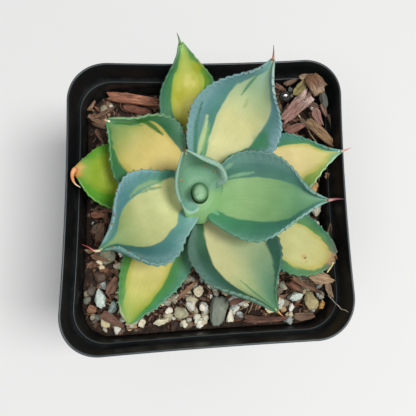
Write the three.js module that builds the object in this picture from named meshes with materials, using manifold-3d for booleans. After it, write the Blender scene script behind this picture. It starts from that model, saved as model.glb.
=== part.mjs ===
// Potted variegated agave: a rosette of broad, spine-tipped leaves growing from a
// short stem, in gritty soil in a square plastic nursery pot.
// Millimetres, +Z up. The pot's base lies on z = 0, centred on the origin; the
// front of the pot faces -Y.
import * as THREE from "three";
import Module from "manifold-3d";

const wasm = await Module();
wasm.setup();

// ---------------------------------------------------------------- pot, soil, stem
const POT_HALF = 44.5; // half the width across the outside of the rim
const POT_HEIGHT = 80;
const RIM_CORNER = 13.0; // corner radius at the rim
const SHEAR = 0.0237; // the thin-walled pot stands slightly out of square
const ASPECT = -0.0085;
const SAG = [1.37, 1.39, 1.13, 0.56]; // inward bow of the +X, +Y, -X, -Y walls
const RIM_THICK = 0.75;
const LEDGE_Z = 72.5; // step inside the collar
const LEDGE_HALF = 41.5;
const COLLAR_Z = 69.6; // bottom of the outer collar
const FLOOR_THICK = 1.4;
const DRAIN_RADIUS = 3.4;
const DRAIN_AT = 19;
const SOIL_TOP = 65.4;
const SOIL_RISE = 3.2; // the mix is heaped in the +X +Y corner
const SOIL_GAP = 0.35;

// half width, corner radius and share of the bow of the pot's surfaces: [z, half, corner, bow]
const OUTER = [
  [0, 33.4, 8.6, 0.1],
  [2.2, 34.2, 9.0, 0.1],
  [COLLAR_Z - 0.6, 42.1, 11.6, 0.8],
  [COLLAR_Z, 43.5, 12.6, 0.85],
  [COLLAR_Z + 1.0, 43.8, 12.7, 0.9],
  [POT_HEIGHT, POT_HALF, RIM_CORNER, 1],
];
const INNER = [
  [POT_HEIGHT, POT_HALF - RIM_THICK, RIM_CORNER - 0.6, 1],
  [LEDGE_Z + 0.5, 42.75, 12.2, 0.95],
  [LEDGE_Z, LEDGE_HALF, 11.3, 0.85],
  [LEDGE_Z - 0.5, 41.1, 11.0, 0.82],
  [FLOOR_THICK + 1.2, 33.2, 8.2, 0.1],
  [FLOOR_THICK, 32.2, 7.4, 0.1],
];
const CORNER_STEPS = 4;
const SIDE_STEPS = 4;

// ---------------------------------------------------------------- the plant
// Each leaf: stations from base to tip, each [left margin, midrib, right margin];
// thick = thickness at the base, at mid-length and near the tip; spine = centre line
// of the terminal spine.
const AXIS = [-3.61, -0.39]; // where the stem stands
const LEAVES = {
  leaf_upper_right: {
    thick: [4.2, 3.4, 1.1],
    spine: [[17.56, 35.4, 98.7], [17.49, 36.72, 99.9], [17.36, 38.23, 101.0]],
    rails: [
      [[-4.32, 5.06, 75.95], [-0.92, 4.45, 74.77], [1.43, 1.91, 75.11]],
      [[-4.66, 9.16, 77.5], [0.77, 7.52, 75.7], [5.02, 3.97, 76.2]],
      [[-5.69, 13.38, 79.77], [2.63, 10.88, 77.11], [8.96, 6.17, 77.86]],
      [[-6.47, 17.94, 82.53], [4.69, 14.33, 79.25], [13.41, 7.8, 80.47]],
      [[-5.95, 22.37, 85.45], [6.62, 17.61, 81.77], [17.11, 10.05, 83.58]],
      [[-4.53, 26.39, 88.54], [8.21, 20.84, 84.53], [19.62, 13.31, 86.81]],
      [[-1.3, 29.39, 91.1], [9.94, 23.79, 87.41], [20.77, 17.12, 90.09]],
      [[2.89, 31.27, 93.07], [11.75, 26.64, 90.12], [19.85, 21.05, 93.12]],
      [[7.54, 31.93, 94.92], [13.62, 29.35, 92.71], [18.05, 25.05, 95.28]],
      [[11.75, 32.28, 96.4], [15.31, 31.69, 95.0], [17.28, 28.96, 96.74]],
      [[15.15, 33.63, 97.6], [16.78, 33.72, 97.0], [17.26, 32.54, 97.82]],
      [[17.44, 35.37, 98.23], [17.72, 35.58, 98.05], [17.88, 35.33, 98.3]],
    ],
  },
  leaf_right: {
    thick: [4.0, 3.2, 1.0],
    spine: [[32.77, -4.12, 91.7], [34.61, -3.93, 92.3], [36.86, -4.1, 92.9]],
    rails: [
      [[0.61, 2.5, 80.4], [1.56, -0.7, 79.21], [0.27, -3.87, 80.38]],
      [[2.09, 5.7, 81.77], [3.97, 0.59, 79.93], [-0.75, -6.74, 81.7]],
      [[3.87, 9.0, 83.75], [6.91, 0.76, 80.98], [2.08, -9.62, 83.62]],
      [[7.3, 11.27, 85.72], [10.26, 0.45, 82.16], [5.43, -12.2, 85.5]],
      [[11.52, 11.91, 87.27], [13.52, -0.09, 83.43], [9.09, -14.1, 86.99]],
      [[15.74, 10.8, 88.81], [16.72, -0.64, 84.77], [12.91, -14.73, 88.46]],
      [[19.66, 8.98, 90.04], [19.85, -1.3, 86.1], [16.72, -13.46, 89.69]],
      [[22.77, 5.83, 90.61], [22.93, -1.98, 87.38], [20.31, -11.28, 90.41]],
      [[25.21, 2.09, 91.05], [25.97, -2.64, 88.62], [23.79, -8.84, 90.99]],
      [[27.42, -1.21, 91.29], [28.67, -3.22, 89.75], [27.14, -6.82, 91.29]],
      [[30.29, -3.09, 91.41], [31.03, -3.72, 90.75], [30.22, -5.04, 91.41]],
      [[32.8, -3.96, 91.47], [32.86, -4.04, 91.28], [32.78, -4.25, 91.47]],
    ],
  },
  leaf_lower_right: {
    thick: [4.0, 3.0, 1.0],
    spine: [[17.34, -34.7, 86.6], [17.97, -35.39, 86.9], [18.56, -36.01, 87.2]],
    rails: [
      [[1.52, -2.62, 74.36], [-0.58, -5.11, 73.66], [-3.73, -6.03, 74.35]],
      [[3.33, -6.01, 75.25], [0.57, -7.96, 74.22], [-5.3, -9.52, 75.19]],
      [[6.58, -8.15, 76.54], [1.86, -11.11, 75.03], [-6.73, -13.48, 76.42]],
      [[10.79, -9.62, 77.99], [3.39, -14.51, 75.96], [-6.73, -18.0, 77.8]],
      [[15.01, -10.67, 79.59], [4.94, -17.81, 77.16], [-4.75, -21.87, 79.3]],
      [[19.02, -12.08, 81.29], [6.85, -20.81, 78.52], [-1.93, -25.06, 80.86]],
      [[20.16, -16.22, 82.94], [8.75, -23.71, 79.9], [1.59, -27.18, 82.39]],
      [[19.54, -20.69, 84.09], [10.71, -26.45, 81.34], [5.51, -28.4, 83.54]],
      [[18.12, -24.89, 84.93], [12.69, -29.05, 82.82], [9.33, -29.84, 84.46]],
      [[17.13, -28.64, 85.63], [14.5, -31.27, 84.19], [12.51, -31.55, 85.28]],
      [[17.06, -31.96, 86.14], [16.09, -33.17, 85.5], [15.07, -33.43, 85.98]],
      [[17.47, -34.38, 86.39], [17.33, -34.57, 86.2], [17.18, -34.59, 86.34]],
    ],
  },
  leaf_lower_left: {
    thick: [4.0, 3.2, 1.0],
    spine: [[-31.54, -16.26, 89.6], [-32.71, -16.37, 90.0], [-34.39, -15.34, 90.5], [-36.07, -14.55, 90.9]],
    rails: [
      [[-5.58, -5.26, 80.28], [-8.12, -3.02, 79.15], [-8.77, 0.27, 80.32]],
      [[-3.84, -6.39, 81.24], [-10.4, -3.21, 79.67], [-9.28, 3.85, 81.43]],
      [[-5.89, -9.87, 82.64], [-12.7, -4.44, 80.42], [-10.42, 7.09, 83.05]],
      [[-7.98, -13.27, 84.12], [-15.19, -5.85, 81.28], [-15.05, 6.93, 84.68]],
      [[-9.6, -17.12, 85.67], [-17.6, -7.31, 82.39], [-19.52, 6.89, 86.19]],
      [[-12.62, -19.77, 87.33], [-19.96, -8.79, 83.65], [-23.74, 5.38, 87.79]],
      [[-16.42, -20.53, 88.65], [-22.21, -10.28, 84.91], [-26.01, 1.71, 89.06]],
      [[-20.06, -19.22, 89.17], [-24.41, -11.77, 86.04], [-27.0, -2.73, 89.57]],
      [[-23.27, -17.09, 89.48], [-26.58, -13.17, 87.08], [-27.65, -7.11, 89.87]],
      [[-26.22, -15.34, 89.57], [-28.53, -14.33, 88.03], [-28.66, -10.86, 89.85]],
      [[-29.22, -15.53, 89.53], [-30.23, -15.35, 88.87], [-30.21, -13.84, 89.65]],
      [[-31.37, -16.28, 89.51], [-31.5, -16.1, 89.31], [-31.58, -15.95, 89.54]],
    ],
  },
  leaf_upper_left: {
    thick: [4.0, 3.0, 1.0],
    spine: [[-29.79, 21.02, 88.9], [-30.11, 21.1, 89.1], [-30.48, 21.17, 89.3]],
    rails: [
      [[-9.22, -0.24, 74.35], [-8.03, 3.02, 73.69], [-5.17, 4.94, 74.34]],
      [[-12.05, 1.14, 75.22], [-8.72, 5.58, 74.35], [-5.73, 8.29, 75.17]],
      [[-15.24, 2.48, 76.48], [-9.5, 8.39, 75.31], [-6.38, 11.97, 76.37]],
      [[-19.13, 2.4, 77.91], [-11.38, 10.84, 76.41], [-6.58, 16.06, 77.75]],
      [[-22.88, 2.4, 79.68], [-13.87, 12.76, 77.84], [-6.93, 19.92, 79.66]],
      [[-26.33, 3.27, 81.64], [-16.41, 14.47, 79.48], [-9.02, 22.91, 81.9]],
      [[-28.11, 5.98, 83.57], [-18.95, 16.07, 81.12], [-12.64, 24.11, 84.07]],
      [[-28.68, 9.35, 85.15], [-21.42, 17.59, 82.83], [-16.75, 23.74, 85.64]],
      [[-28.85, 12.8, 86.51], [-23.83, 19.06, 84.59], [-20.68, 22.42, 86.84]],
      [[-28.97, 15.93, 87.6], [-26.09, 20.1, 86.2], [-24.21, 21.72, 87.79]],
      [[-29.32, 18.74, 88.32], [-28.11, 20.88, 87.68], [-27.34, 21.48, 88.4]],
      [[-29.85, 20.87, 88.66], [-29.79, 21.18, 88.46], [-29.68, 21.28, 88.68]],
    ],
  },
  leaf_top: {
    thick: [3.4, 2.8, 0.9],
    spine: [[-7.95, 46.44, 87.4], [-8.34, 47.46, 88.2], [-8.87, 48.59, 89.0]],
    rails: [
      [[-8.12, 7.36, 69.99], [-4.56, 8.53, 69.62], [-0.85, 8.13, 69.97]],
      [[-8.84, 10.98, 70.65], [-4.89, 12.02, 70.03], [-0.86, 11.98, 70.57]],
      [[-9.66, 14.98, 71.61], [-5.28, 15.91, 70.63], [-0.9, 16.26, 71.44]],
      [[-10.57, 19.39, 72.73], [-5.71, 20.22, 71.36], [-0.95, 20.99, 72.46]],
      [[-12.35, 23.3, 74.28], [-6.1, 24.34, 72.62], [0.15, 25.34, 74.01]],
      [[-13.86, 27.16, 76.12], [-6.05, 28.32, 74.22], [1.5, 29.49, 75.87]],
      [[-14.35, 31.1, 78.21], [-6.02, 32.13, 76.12], [2.6, 33.5, 78.0]],
      [[-13.63, 34.82, 80.54], [-6.03, 35.59, 78.62], [2.54, 37.39, 80.4]],
      [[-11.75, 38.14, 82.73], [-6.43, 38.88, 81.21], [-0.29, 40.33, 82.67]],
      [[-9.65, 40.93, 84.56], [-6.94, 41.74, 83.5], [-3.14, 42.68, 84.55]],
      [[-8.32, 43.74, 85.98], [-7.46, 44.21, 85.5], [-5.48, 44.95, 85.98]],
      [[-8.2, 46.18, 86.69], [-7.8, 46.26, 86.55], [-7.15, 46.85, 86.69]],
    ],
  },
  leaf_right_outer: {
    thick: [3.4, 2.8, 0.9],
    spine: [[41.1, 12.68, 83.7], [42.21, 12.96, 84.2], [43.7, 13.43, 84.8]],
    rails: [
      [[3.74, 4.73, 69.88], [4.98, 2.22, 69.62], [5.37, -0.58, 69.87]],
      [[6.35, 7.53, 70.5], [7.73, 4.21, 70.03], [8.78, 0.41, 70.45]],
      [[9.25, 10.63, 71.4], [10.81, 6.44, 70.63], [12.59, 1.48, 71.29]],
      [[12.48, 14.06, 72.43], [14.23, 8.9, 71.34], [16.88, 1.03, 72.26]],
      [[16.1, 16.86, 73.77], [18.09, 10.24, 72.43], [21.05, 0.16, 73.62]],
      [[19.93, 19.13, 75.31], [21.89, 11.45, 73.77], [25.15, 0.21, 75.22]],
      [[24.02, 20.82, 76.86], [25.7, 12.34, 75.15], [29.08, 0.74, 76.84]],
      [[28.26, 19.57, 78.62], [29.39, 12.76, 77.04], [32.26, 2.95, 78.62]],
      [[32.07, 17.31, 80.5], [32.92, 12.91, 79.24], [34.6, 6.01, 80.5]],
      [[35.26, 14.89, 81.98], [36.07, 12.92, 81.09], [36.78, 8.74, 81.98]],
      [[38.32, 13.25, 82.9], [38.91, 12.83, 82.5], [39.04, 11.07, 82.9]],
      [[40.95, 12.96, 83.32], [41.14, 12.83, 83.2], [41.08, 12.6, 83.32]],
    ],
  },
  leaf_right_lower: {
    thick: [3.4, 2.8, 1.2],
    spine: [[38.06, -19.71, 79.3], [38.27, -20.18, 79.4]],
    rails: [
      [[5.29, -1.67, 69.33], [4.47, -4.35, 69.09], [2.85, -6.66, 69.33]],
      [[8.71, -1.57, 69.76], [7.43, -5.39, 69.4], [5.94, -8.45, 69.76]],
      [[12.53, -1.49, 70.39], [10.74, -6.57, 69.85], [9.37, -10.47, 70.39]],
      [[16.71, -1.91, 71.12], [14.36, -7.95, 70.38], [12.87, -13.05, 71.12]],
      [[20.78, -2.62, 72.19], [17.79, -9.62, 71.2], [15.8, -16.23, 72.19]],
      [[24.69, -3.61, 73.45], [21.15, -11.29, 72.2], [18.67, -19.33, 73.45]],
      [[28.46, -4.94, 74.71], [24.56, -12.7, 73.22], [21.69, -22.15, 74.71]],
      [[32.05, -6.53, 75.91], [27.86, -14.11, 74.48], [25.17, -24.06, 75.91]],
      [[34.53, -9.67, 77.07], [31.03, -15.6, 75.88], [29.14, -24.56, 77.07]],
      [[36.63, -12.52, 78.05], [33.83, -16.93, 77.12], [32.71, -23.9, 78.05]],
      [[37.86, -15.45, 78.78], [36.21, -18.25, 78.2], [35.65, -22.45, 78.78]],
      [[38.29, -17.81, 79.14], [38.05, -19.21, 78.76], [37.64, -20.9, 79.14]],
    ],
  },
  leaf_bottom: {
    thick: [3.4, 2.8, 1.0],
    spine: [[-24.77, -36.83, 75.1], [-24.89, -37.11, 75.1]],
    rails: [
      [[-4.4, -9.37, 69.33], [-7.7, -8.42, 69.09], [-10.41, -6.31, 69.33]],
      [[-4.83, -12.46, 69.76], [-10.01, -10.12, 69.4], [-13.46, -7.85, 69.76]],
      [[-4.9, -15.94, 70.39], [-12.47, -12.13, 69.85], [-16.86, -9.58, 70.39]],
      [[-5.29, -19.72, 71.1], [-14.62, -14.91, 70.36], [-20.65, -11.26, 71.1]],
      [[-7.03, -22.93, 71.95], [-16.74, -17.66, 70.97], [-24.42, -12.79, 71.95]],
      [[-9.28, -25.87, 72.89], [-18.26, -20.72, 71.63], [-26.31, -16.31, 72.89]],
      [[-11.9, -28.36, 73.79], [-19.68, -23.76, 72.3], [-27.11, -20.29, 73.79]],
      [[-14.63, -30.63, 74.37], [-20.96, -26.81, 72.94], [-27.63, -24.22, 74.37]],
      [[-17.33, -32.86, 74.75], [-22.17, -29.83, 73.56], [-27.72, -28.14, 74.75]],
      [[-20.19, -34.13, 75.01], [-23.27, -32.49, 74.12], [-27.59, -31.62, 75.01]],
      [[-22.45, -35.7, 75.09], [-24.19, -34.83, 74.62], [-26.56, -34.56, 75.09]],
      [[-24.27, -36.68, 75.1], [-24.78, -36.61, 74.89], [-25.14, -36.41, 75.1]],
    ],
  },
  leaf_left_outer: {
    thick: [3.4, 2.8, 1.0],
    spine: [[-39.53, 8.26, 82.9], [-40.07, 7.04, 83.0], [-40.18, 5.64, 82.6], [-39.47, 4.13, 82.0], [-38.1, 3.18, 81.6]],
    rails: [
      [[-12.42, -2.29, 69.87], [-12.48, 1.15, 69.62], [-11.25, 4.34, 69.87]],
      [[-15.08, -1.63, 70.45], [-14.24, 2.99, 70.03], [-12.78, 7.21, 70.45]],
      [[-18.03, -0.93, 71.29], [-16.22, 5.03, 70.63], [-14.5, 10.38, 71.29]],
      [[-21.35, -1.52, 72.26], [-18.55, 6.98, 71.34], [-16.4, 13.86, 72.26]],
      [[-24.59, -2.23, 73.62], [-21.64, 7.29, 72.43], [-19.22, 16.18, 73.62]],
      [[-27.72, -2.31, 75.22], [-24.66, 7.54, 73.77], [-22.75, 17.55, 75.22]],
      [[-30.75, -1.88, 76.82], [-27.6, 7.83, 75.14], [-26.28, 18.38, 76.82]],
      [[-33.43, -0.72, 78.48], [-30.43, 8.06, 76.9], [-30.01, 17.38, 78.48]],
      [[-35.68, 0.99, 80.16], [-33.15, 8.15, 78.9], [-33.45, 15.66, 80.16]],
      [[-37.18, 3.08, 81.46], [-35.56, 8.22, 80.54], [-35.88, 13.01, 81.46]],
      [[-38.34, 5.17, 82.22], [-37.71, 8.19, 81.7], [-38.0, 10.77, 82.22]],
      [[-39.14, 6.84, 82.56], [-39.35, 8.12, 82.26], [-39.42, 8.98, 82.56]],
    ],
  },
};
const CUP_RAILS = [
  [[-3.64, -1.64, 76.0], [-5.27, 0.91, 76.2], [-4.48, 3.68, 76.5], [-2.04, 5.08, 76.5], [0.12, 2.85, 76.3]],
  [[-3.97, -2.75, 78.0], [-5.71, 0.08, 78.0], [-5.09, 4.77, 78.0], [-1.82, 5.93, 80.0], [0.21, 1.41, 80.6]],
  [[-6.24, -4.37, 82.5], [-7.91, -0.29, 83.0], [-6.07, 5.88, 82.5], [-0.92, 6.64, 84.0], [2.57, 2.2, 84.5]],
  [[-8.88, -3.28, 87.0], [-9.33, 1.73, 87.5], [-6.84, 7.14, 87.0], [-0.76, 7.79, 87.6], [4.45, 3.39, 87.6]],
  [[-10.32, 0.49, 90.5], [-9.36, 4.61, 91.2], [-7.37, 8.11, 91.0], [-1.9, 8.33, 91.0], [2.78, 6.5, 90.5]],
  [[-9.91, 4.74, 94.0], [-8.86, 6.62, 94.3], [-7.71, 8.54, 94.5], [-5.09, 8.43, 94.3], [-1.76, 7.82, 94.0]],
  [[-8.44, 8.79, 97.0], [-8.21, 9.04, 97.0], [-8.04, 9.26, 97.0], [-7.67, 9.2, 97.0], [-7.3, 9.03, 97.0]],
];
const CUP_TIP = [-8.2, 9.45, 98.2];
const BUD = [
  [-2.49, 1.85, 76.0, 2.3, 2.7],
  [-2.93, 0.89, 81.0, 2.45, 3.0],
  [-3.39, -0.05, 86.0, 2.3, 2.85],
  [-3.74, -0.79, 90.0, 1.9, 2.4],
  [-3.96, -1.22, 92.3, 1.2, 1.6],
  [-4.09, -1.44, 93.6, 0.25, 0.35],
];

const MARGIN_THICK = 0.7;
const SPINE_RADIUS = 0.55;

// loose pieces lying on the soil: name, kind, x, y, length, width, turn, height, colour,
// lift (pieces of the heap that lie on others)
const PIECES = [
  ["bark_strip_back", "bark", -23.02, 35.46, 16.7, 3.67, -9.6, 2.2, "8a5f4c", 0],
  ["bark_strip_second", "bark", -21.77, 31.77, 11.01, 2.34, -16.1, 1.6, "6a4438", 0],
  ["bark_curl_right", "bark", 35.5, 34.42, 7.9, 3.23, -64.5, 2.2, "6b4f3a", 3.9],
  ["leaf_chip", "bark", 34.57, 34.97, 7.64, 2.67, 46.8, 1.2, "7a7049", 2.2],
  ["bark_red_right", "bark", 29.99, 31.16, 8.14, 4.44, 39.1, 2.0, "7d5148", 0],
  ["bark_shard_right", "bark", 34.25, 21.73, 10.33, 3.1, -51.4, 1.8, "7a6348", 0],
  ["bark_lower_left", "bark", -36.83, -32.29, 2.77, 2.77, -22.0, 2.2, "80614a", 0],
  ["bark_bottom", "bark", 17.0, -37.61, 13.54, 1.93, 0.4, 2.2, "5d4238", 0],
  ["bark_bottom_right", "bark", 30.13, -37.24, 6.57, 2.63, 1.4, 2.0, "6a5546", 0],
  ["pebble_glossy", "stone", 28.87, 36.24, 4.37, 4.73, -84.2, 3.0, "2c2c2a", 0],
  ["stone_flat_right", "stone", 36.27, 34.44, 3.66, 8.05, 8.1, 1.6, "4b4c44", 0],
  ["stone_tan_right", "stone", 35.81, 4.7, 4.7, 4.03, -63.7, 3.0, "b58f62", 0],
  ["stone_round_left", "stone", -31.99, -16.0, 5.05, 5.36, -80.3, 3.6, "8b8d78", 0],
  ["stone_brown_left", "stone", -34.89, -7.64, 4.19, 5.15, -70.5, 3.0, "6f5a4c", 0],
  ["pebble_dark_left", "stone", -34.19, -22.62, 4.0, 3.69, -2.0, 3.0, "4a3a30", 0],
  ["pumice_white_left", "stone", -34.25, -29.07, 3.63, 6.35, 9.8, 3.4, "b9c6c0", 0],
  ["pumice_blue_left", "stone", -30.36, -32.27, 2.79, 4.65, -29.7, 2.6, "93a6a2", 0],
  ["pumice_cream_corner", "stone", -32.65, -36.17, 3.28, 4.17, 17.5, 3.2, "b4aa86", 0],
  ["pumice_cream_a", "stone", -21.33, -36.9, 2.45, 3.37, 2.4, 3.0, "c8c2ab", 0],
  ["pumice_cream_b", "stone", -15.56, -36.92, 5.22, 2.46, 11.2, 2.8, "c4bea4", 0],
  ["pebble_green_bottom", "stone", -9.09, -34.52, 4.7, 3.76, -12.2, 3.0, "9a967c", 0],
  ["stone_wedge", "stone", 2.82, -33.52, 5.7, 9.51, -10.2, 3.2, "6d7468", 0],
  ["pumice_white_bottom", "stone", 6.49, -35.94, 2.54, 4.45, -12.1, 3.0, "cfccba", 0],
  ["pumice_cream_c", "stone", 19.26, -34.62, 3.85, 2.57, -21.8, 2.4, "c9bb96", 0],
  ["pumice_blue_bottom", "stone", 27.48, -30.86, 4.62, 2.97, 9.3, 3.2, "aebab2", 0],
  ["stone_brown_bottom", "stone", 27.44, -27.2, 5.48, 3.22, -31.8, 3.0, "7d5644", 0],
  ["rock_cream_bottom", "stone", 32.64, -32.33, 4.65, 6.31, 16.7, 3.2, "948b66", 0],
  ["stone_orange_corner", "stone", 36.04, -33.73, 1.98, 2.98, -2.3, 3.0, "a98348", 0],
  ["pumice_white_right", "stone", 36.04, -2.82, 4.03, 4.03, -21.5, 3.0, "a9a493", 0],
  ["perlite_left", "stone", -27.86, -15.15, 1.88, 2.81, -1.8, 2.8, "cfd0c8", 0],
  ["pumice_cream_mid", "stone", -3.59, -27.94, 3.48, 3.8, -21.8, 3.4, "cdc6ad", 0],
];

const PIECE_CLEARANCE = 0.35;

// a dry twig and a stray root fibre: centre lines
const FIBRES = {
  twig: { radius: 0.42, points: [[31.45, 29.11, 72.6], [33.05, 26.29, 72.6], [34.77, 23.38, 72.4], [36.26, 21.06, 72.0], [37.62, 19.47, 71.4]], color: "#a08c6e" },
  root_fibre: { radius: 0.2, points: [[37.9, -30.88, 69.4], [38.67, -32.44, 71.5], [39.13, -34.19, 74.6], [39.52, -35.01, 76.0], [39.99, -35.34, 77.6], [40.43, -35.91, 78.9]], color: "#b9ae9f" },
};

// ---------------------------------------------------------------- helpers
function material(color, roughness = 0.6, metalness = 0) {
  return new THREE.MeshStandardMaterial({ color: new THREE.Color(color), roughness, metalness });
}

function outline(half, corner, bow) {
  const raw = [];
  const flat = half - corner;
  const signs = [[1, 1], [-1, 1], [-1, -1], [1, -1]];
  for (let i = 0; i < 4; i++) {
    const [sx, sy] = signs[i];
    for (let k = 0; k <= CORNER_STEPS; k++) {
      const a = (i + k / CORNER_STEPS) * (Math.PI / 2);
      raw.push([sx * flat + corner * Math.cos(a), sy * flat + corner * Math.sin(a)]);
    }
    const [nx, ny] = signs[(i + 1) % 4];
    const end = (i + 1) * (Math.PI / 2);
    const from = raw[raw.length - 1];
    const to = [nx * flat + corner * Math.cos(end), ny * flat + corner * Math.sin(end)];
    for (let k = 1; k < SIDE_STEPS; k++) {
      const t = k / SIDE_STEPS;
      raw.push([from[0] + (to[0] - from[0]) * t, from[1] + (to[1] - from[1]) * t]);
    }
  }
  return raw.map(([x, y]) => {
    const u = Math.abs(x) / half, v = Math.abs(y) / half;
    const bx = (x > 0 ? -SAG[0] : SAG[2]) * bow * Math.max(0, 1 - v * v) * u ** 3;
    const by = (y > 0 ? -SAG[1] : SAG[3]) * bow * Math.max(0, 1 - u * u) * v ** 3;
    const px = x + bx, py = y + by;
    return [px * (1 + ASPECT) + SHEAR * py, py * (1 - ASPECT) + SHEAR * px];
  });
}

// closed surface through rings of equal length; both ends capped by a centre point
function loft(rings, capStart, capEnd) {
  const n = rings[0].length;
  const p = [];
  const idx = [];
  rings.forEach((r) => r.forEach((q) => p.push(...q)));
  for (let i = 0; i + 1 < rings.length; i++)
    for (let k = 0; k < n; k++) {
      const a = i * n + k, b = i * n + ((k + 1) % n), c = a + n, d = b + n;
      idx.push(a, b, d, a, d, c);
    }
  const s = p.length / 3;
  p.push(...capStart);
  for (let k = 0; k < n; k++) idx.push(s, (k + 1) % n, k);
  p.push(...capEnd);
  const last = (rings.length - 1) * n;
  for (let k = 0; k < n; k++) idx.push(s + 1, last + k, last + ((k + 1) % n));
  const g = new THREE.BufferGeometry();
  g.setAttribute("position", new THREE.Float32BufferAttribute(p, 3));
  g.setIndex(idx);
  g.computeVertexNormals();
  return g;
}

function toManifold(g) {
  const m = new wasm.Mesh({
    numProp: 3,
    vertProperties: new Float32Array(g.attributes.position.array),
    triVerts: new Uint32Array(g.index.array),
  });
  m.merge();
  return new wasm.Manifold(m);
}

function fromManifold(s) {
  const m = s.getMesh();
  const g = new THREE.BufferGeometry();
  g.setAttribute("position", new THREE.BufferAttribute(new Float32Array(m.vertProperties), 3));
  g.setIndex(new THREE.BufferAttribute(new Uint32Array(m.triVerts), 1));
  g.computeVertexNormals();
  return g;
}

const root = new THREE.Group();
root.name = "potted_agave";
function add(name, geometry, mat) {
  const mesh = new THREE.Mesh(geometry, mat);
  mesh.name = name;
  root.add(mesh);
  return mesh;
}

// ---------------------------------------------------------------- pot
const ringAt = ([z, half, corner, bow]) => outline(half, corner, bow).map(([x, y]) => [x, y, z]);
const potShell = loft(
  [...OUTER.map(ringAt), ...INNER.map(ringAt)],
  [0, 0, 0],
  [0, 0, FLOOR_THICK],
);
let potSolid = toManifold(potShell);
for (const [dx, dy] of [[1, 1], [-1, 1], [-1, -1], [1, -1]]) {
  const hole = new THREE.CylinderGeometry(DRAIN_RADIUS, DRAIN_RADIUS, 8, 12);
  hole.rotateX(Math.PI / 2);
  hole.translate(dx * DRAIN_AT, dy * DRAIN_AT, 0);
  const clean = new THREE.BufferGeometry();
  clean.setAttribute("position", hole.attributes.position.clone());
  clean.setIndex(hole.index.clone());
  potSolid = potSolid.subtract(toManifold(clean));
}
add("pot", fromManifold(potSolid), material("#15181a", 0.5));

// ---------------------------------------------------------------- soil
const soilWall = (z) => {
  const [a, b] = [INNER[3], INNER[4]];
  const t = (a[0] - z) / (a[0] - b[0]);
  return [z, a[1] + (b[1] - a[1]) * t - SOIL_GAP, a[2] + (b[2] - a[2]) * t - SOIL_GAP * 0.5, a[3] + (b[3] - a[3]) * t];
};
const bump = (x, y) =>
  SOIL_RISE * Math.min(1, Math.max(0, (x + y - 26) / 26)) ** 1.3 +
  0.28 * Math.sin(x * 0.31 + 1.3) * Math.cos(y * 0.27 - 0.6) + 0.14 * Math.sin(x * 0.63 - y * 0.51);
const soilBottom = FLOOR_THICK + 0.35;
const soilRings = [];
soilRings.push(outline(31.6, 7.0, 0.1).map(([x, y]) => [x, y, soilBottom]));
soilRings.push(ringAt(soilWall(FLOOR_THICK + 2.6)));
soilRings.push(ringAt(soilWall(34)));
soilRings.push(ringAt(soilWall(SOIL_TOP - 0.5)).map(([x, y, z]) => [x * 0.9995, y * 0.9995, z]));
const top = outline(...soilWall(SOIL_TOP - 0.5).slice(1));
for (const f of [0.985, 0.86, 0.7, 0.52, 0.34, 0.16])
  soilRings.push(top.map(([x, y]) => [x * f, y * f, SOIL_TOP + bump(x * f, y * f)]));
add("soil", loft(soilRings, [0, 0, soilBottom], [0, 0, SOIL_TOP + bump(0, 0)]), material("#3a2a22", 0.95));

// ---------------------------------------------------------------- stem
const [AX, AY] = AXIS;
const stemProfile = [
  [0.01, SOIL_TOP + 0.8], [7.2, SOIL_TOP + 0.8], [7.9, 67.4], [7.7, 69.0], [6.0, 70.2],
  [4.7, 71.0], [4.4, 74.4], [0.01, 75.3],
].map(([r, z]) => new THREE.Vector2(r === 0.01 ? 0 : r, z));
const stem = new THREE.LatheGeometry(stemProfile, 16);
stem.rotateX(Math.PI / 2);
stem.translate(AX, AY, 0);
add("stem", stem, material("#7d8a55", 0.8));

// ---------------------------------------------------------------- leaves
const V = (a) => new THREE.Vector3(a[0], a[1], a[2]);
function leafGeometry({ rails, spine, thick }) {
  const rings = [];
  const n = rails.length;
  for (let i = 0; i < n; i++) {
    const u = i / (n - 1);
    const [L, M, R] = rails[i].map(V);
    const next = V(rails[Math.min(i + 1, n - 1)][1]), prev = V(rails[Math.max(i - 1, 0)][1]);
    const along = next.clone().sub(prev).normalize();
    const down = new THREE.Vector3().crossVectors(along, R.clone().sub(L)).normalize().multiplyScalar(1);
    if (down.z > 0) down.negate();
    const t = u < 0.5 ? thick[0] + (thick[1] - thick[0]) * (u / 0.5) : thick[1] + (thick[2] - thick[1]) * ((u - 0.5) / 0.5);
    const P = (v) => M.clone().multiplyScalar(1 - v * v).addScaledVector(L, (v * v - v) / 2).addScaledVector(R, (v * v + v) / 2);
    const ring = [];
    for (const v of [-1, -0.5, 0, 0.5, 1]) ring.push(P(v).toArray());
    for (const v of [1, 0.5, 0, -0.5, -1]) {
      const d = MARGIN_THICK + (t - MARGIN_THICK) * (1 - v * v);
      ring.push(P(v).addScaledVector(down, Math.min(d, t)).toArray());
    }
    rings.push(ring);
  }
  // the leaf draws in to its spine
  const last = rings[rings.length - 1];
  const from = V(spine[0]), along0 = V(spine[1]).sub(from).normalize();
  const count = spine.length;
  for (let s = 0; s < count - 1; s++) {
    const c = V(spine[s]);
    const dir = V(spine[s + 1]).sub(c).normalize();
    const side = new THREE.Vector3().crossVectors(dir, new THREE.Vector3(0, 0, 1)).normalize();
    const up = new THREE.Vector3().crossVectors(side, dir).normalize();
    const r = SPINE_RADIUS * (1 - s / (count - 1)) + 0.12;
    const ring = [];
    const angles = [180, 135, 90, 45, 0, -20, -55, -90, -125, -160];
    for (const a of angles) {
      const q = (a * Math.PI) / 180;
      ring.push(c.clone().addScaledVector(side, r * Math.cos(q)).addScaledVector(up, r * Math.sin(q)).toArray());
    }
    rings.push(ring);
  }
  const base = rings[0].reduce((s, q) => s.add(V(q)), new THREE.Vector3()).divideScalar(rings[0].length);
  return loft(rings, base.toArray(), spine[count - 1]);
}

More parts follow.
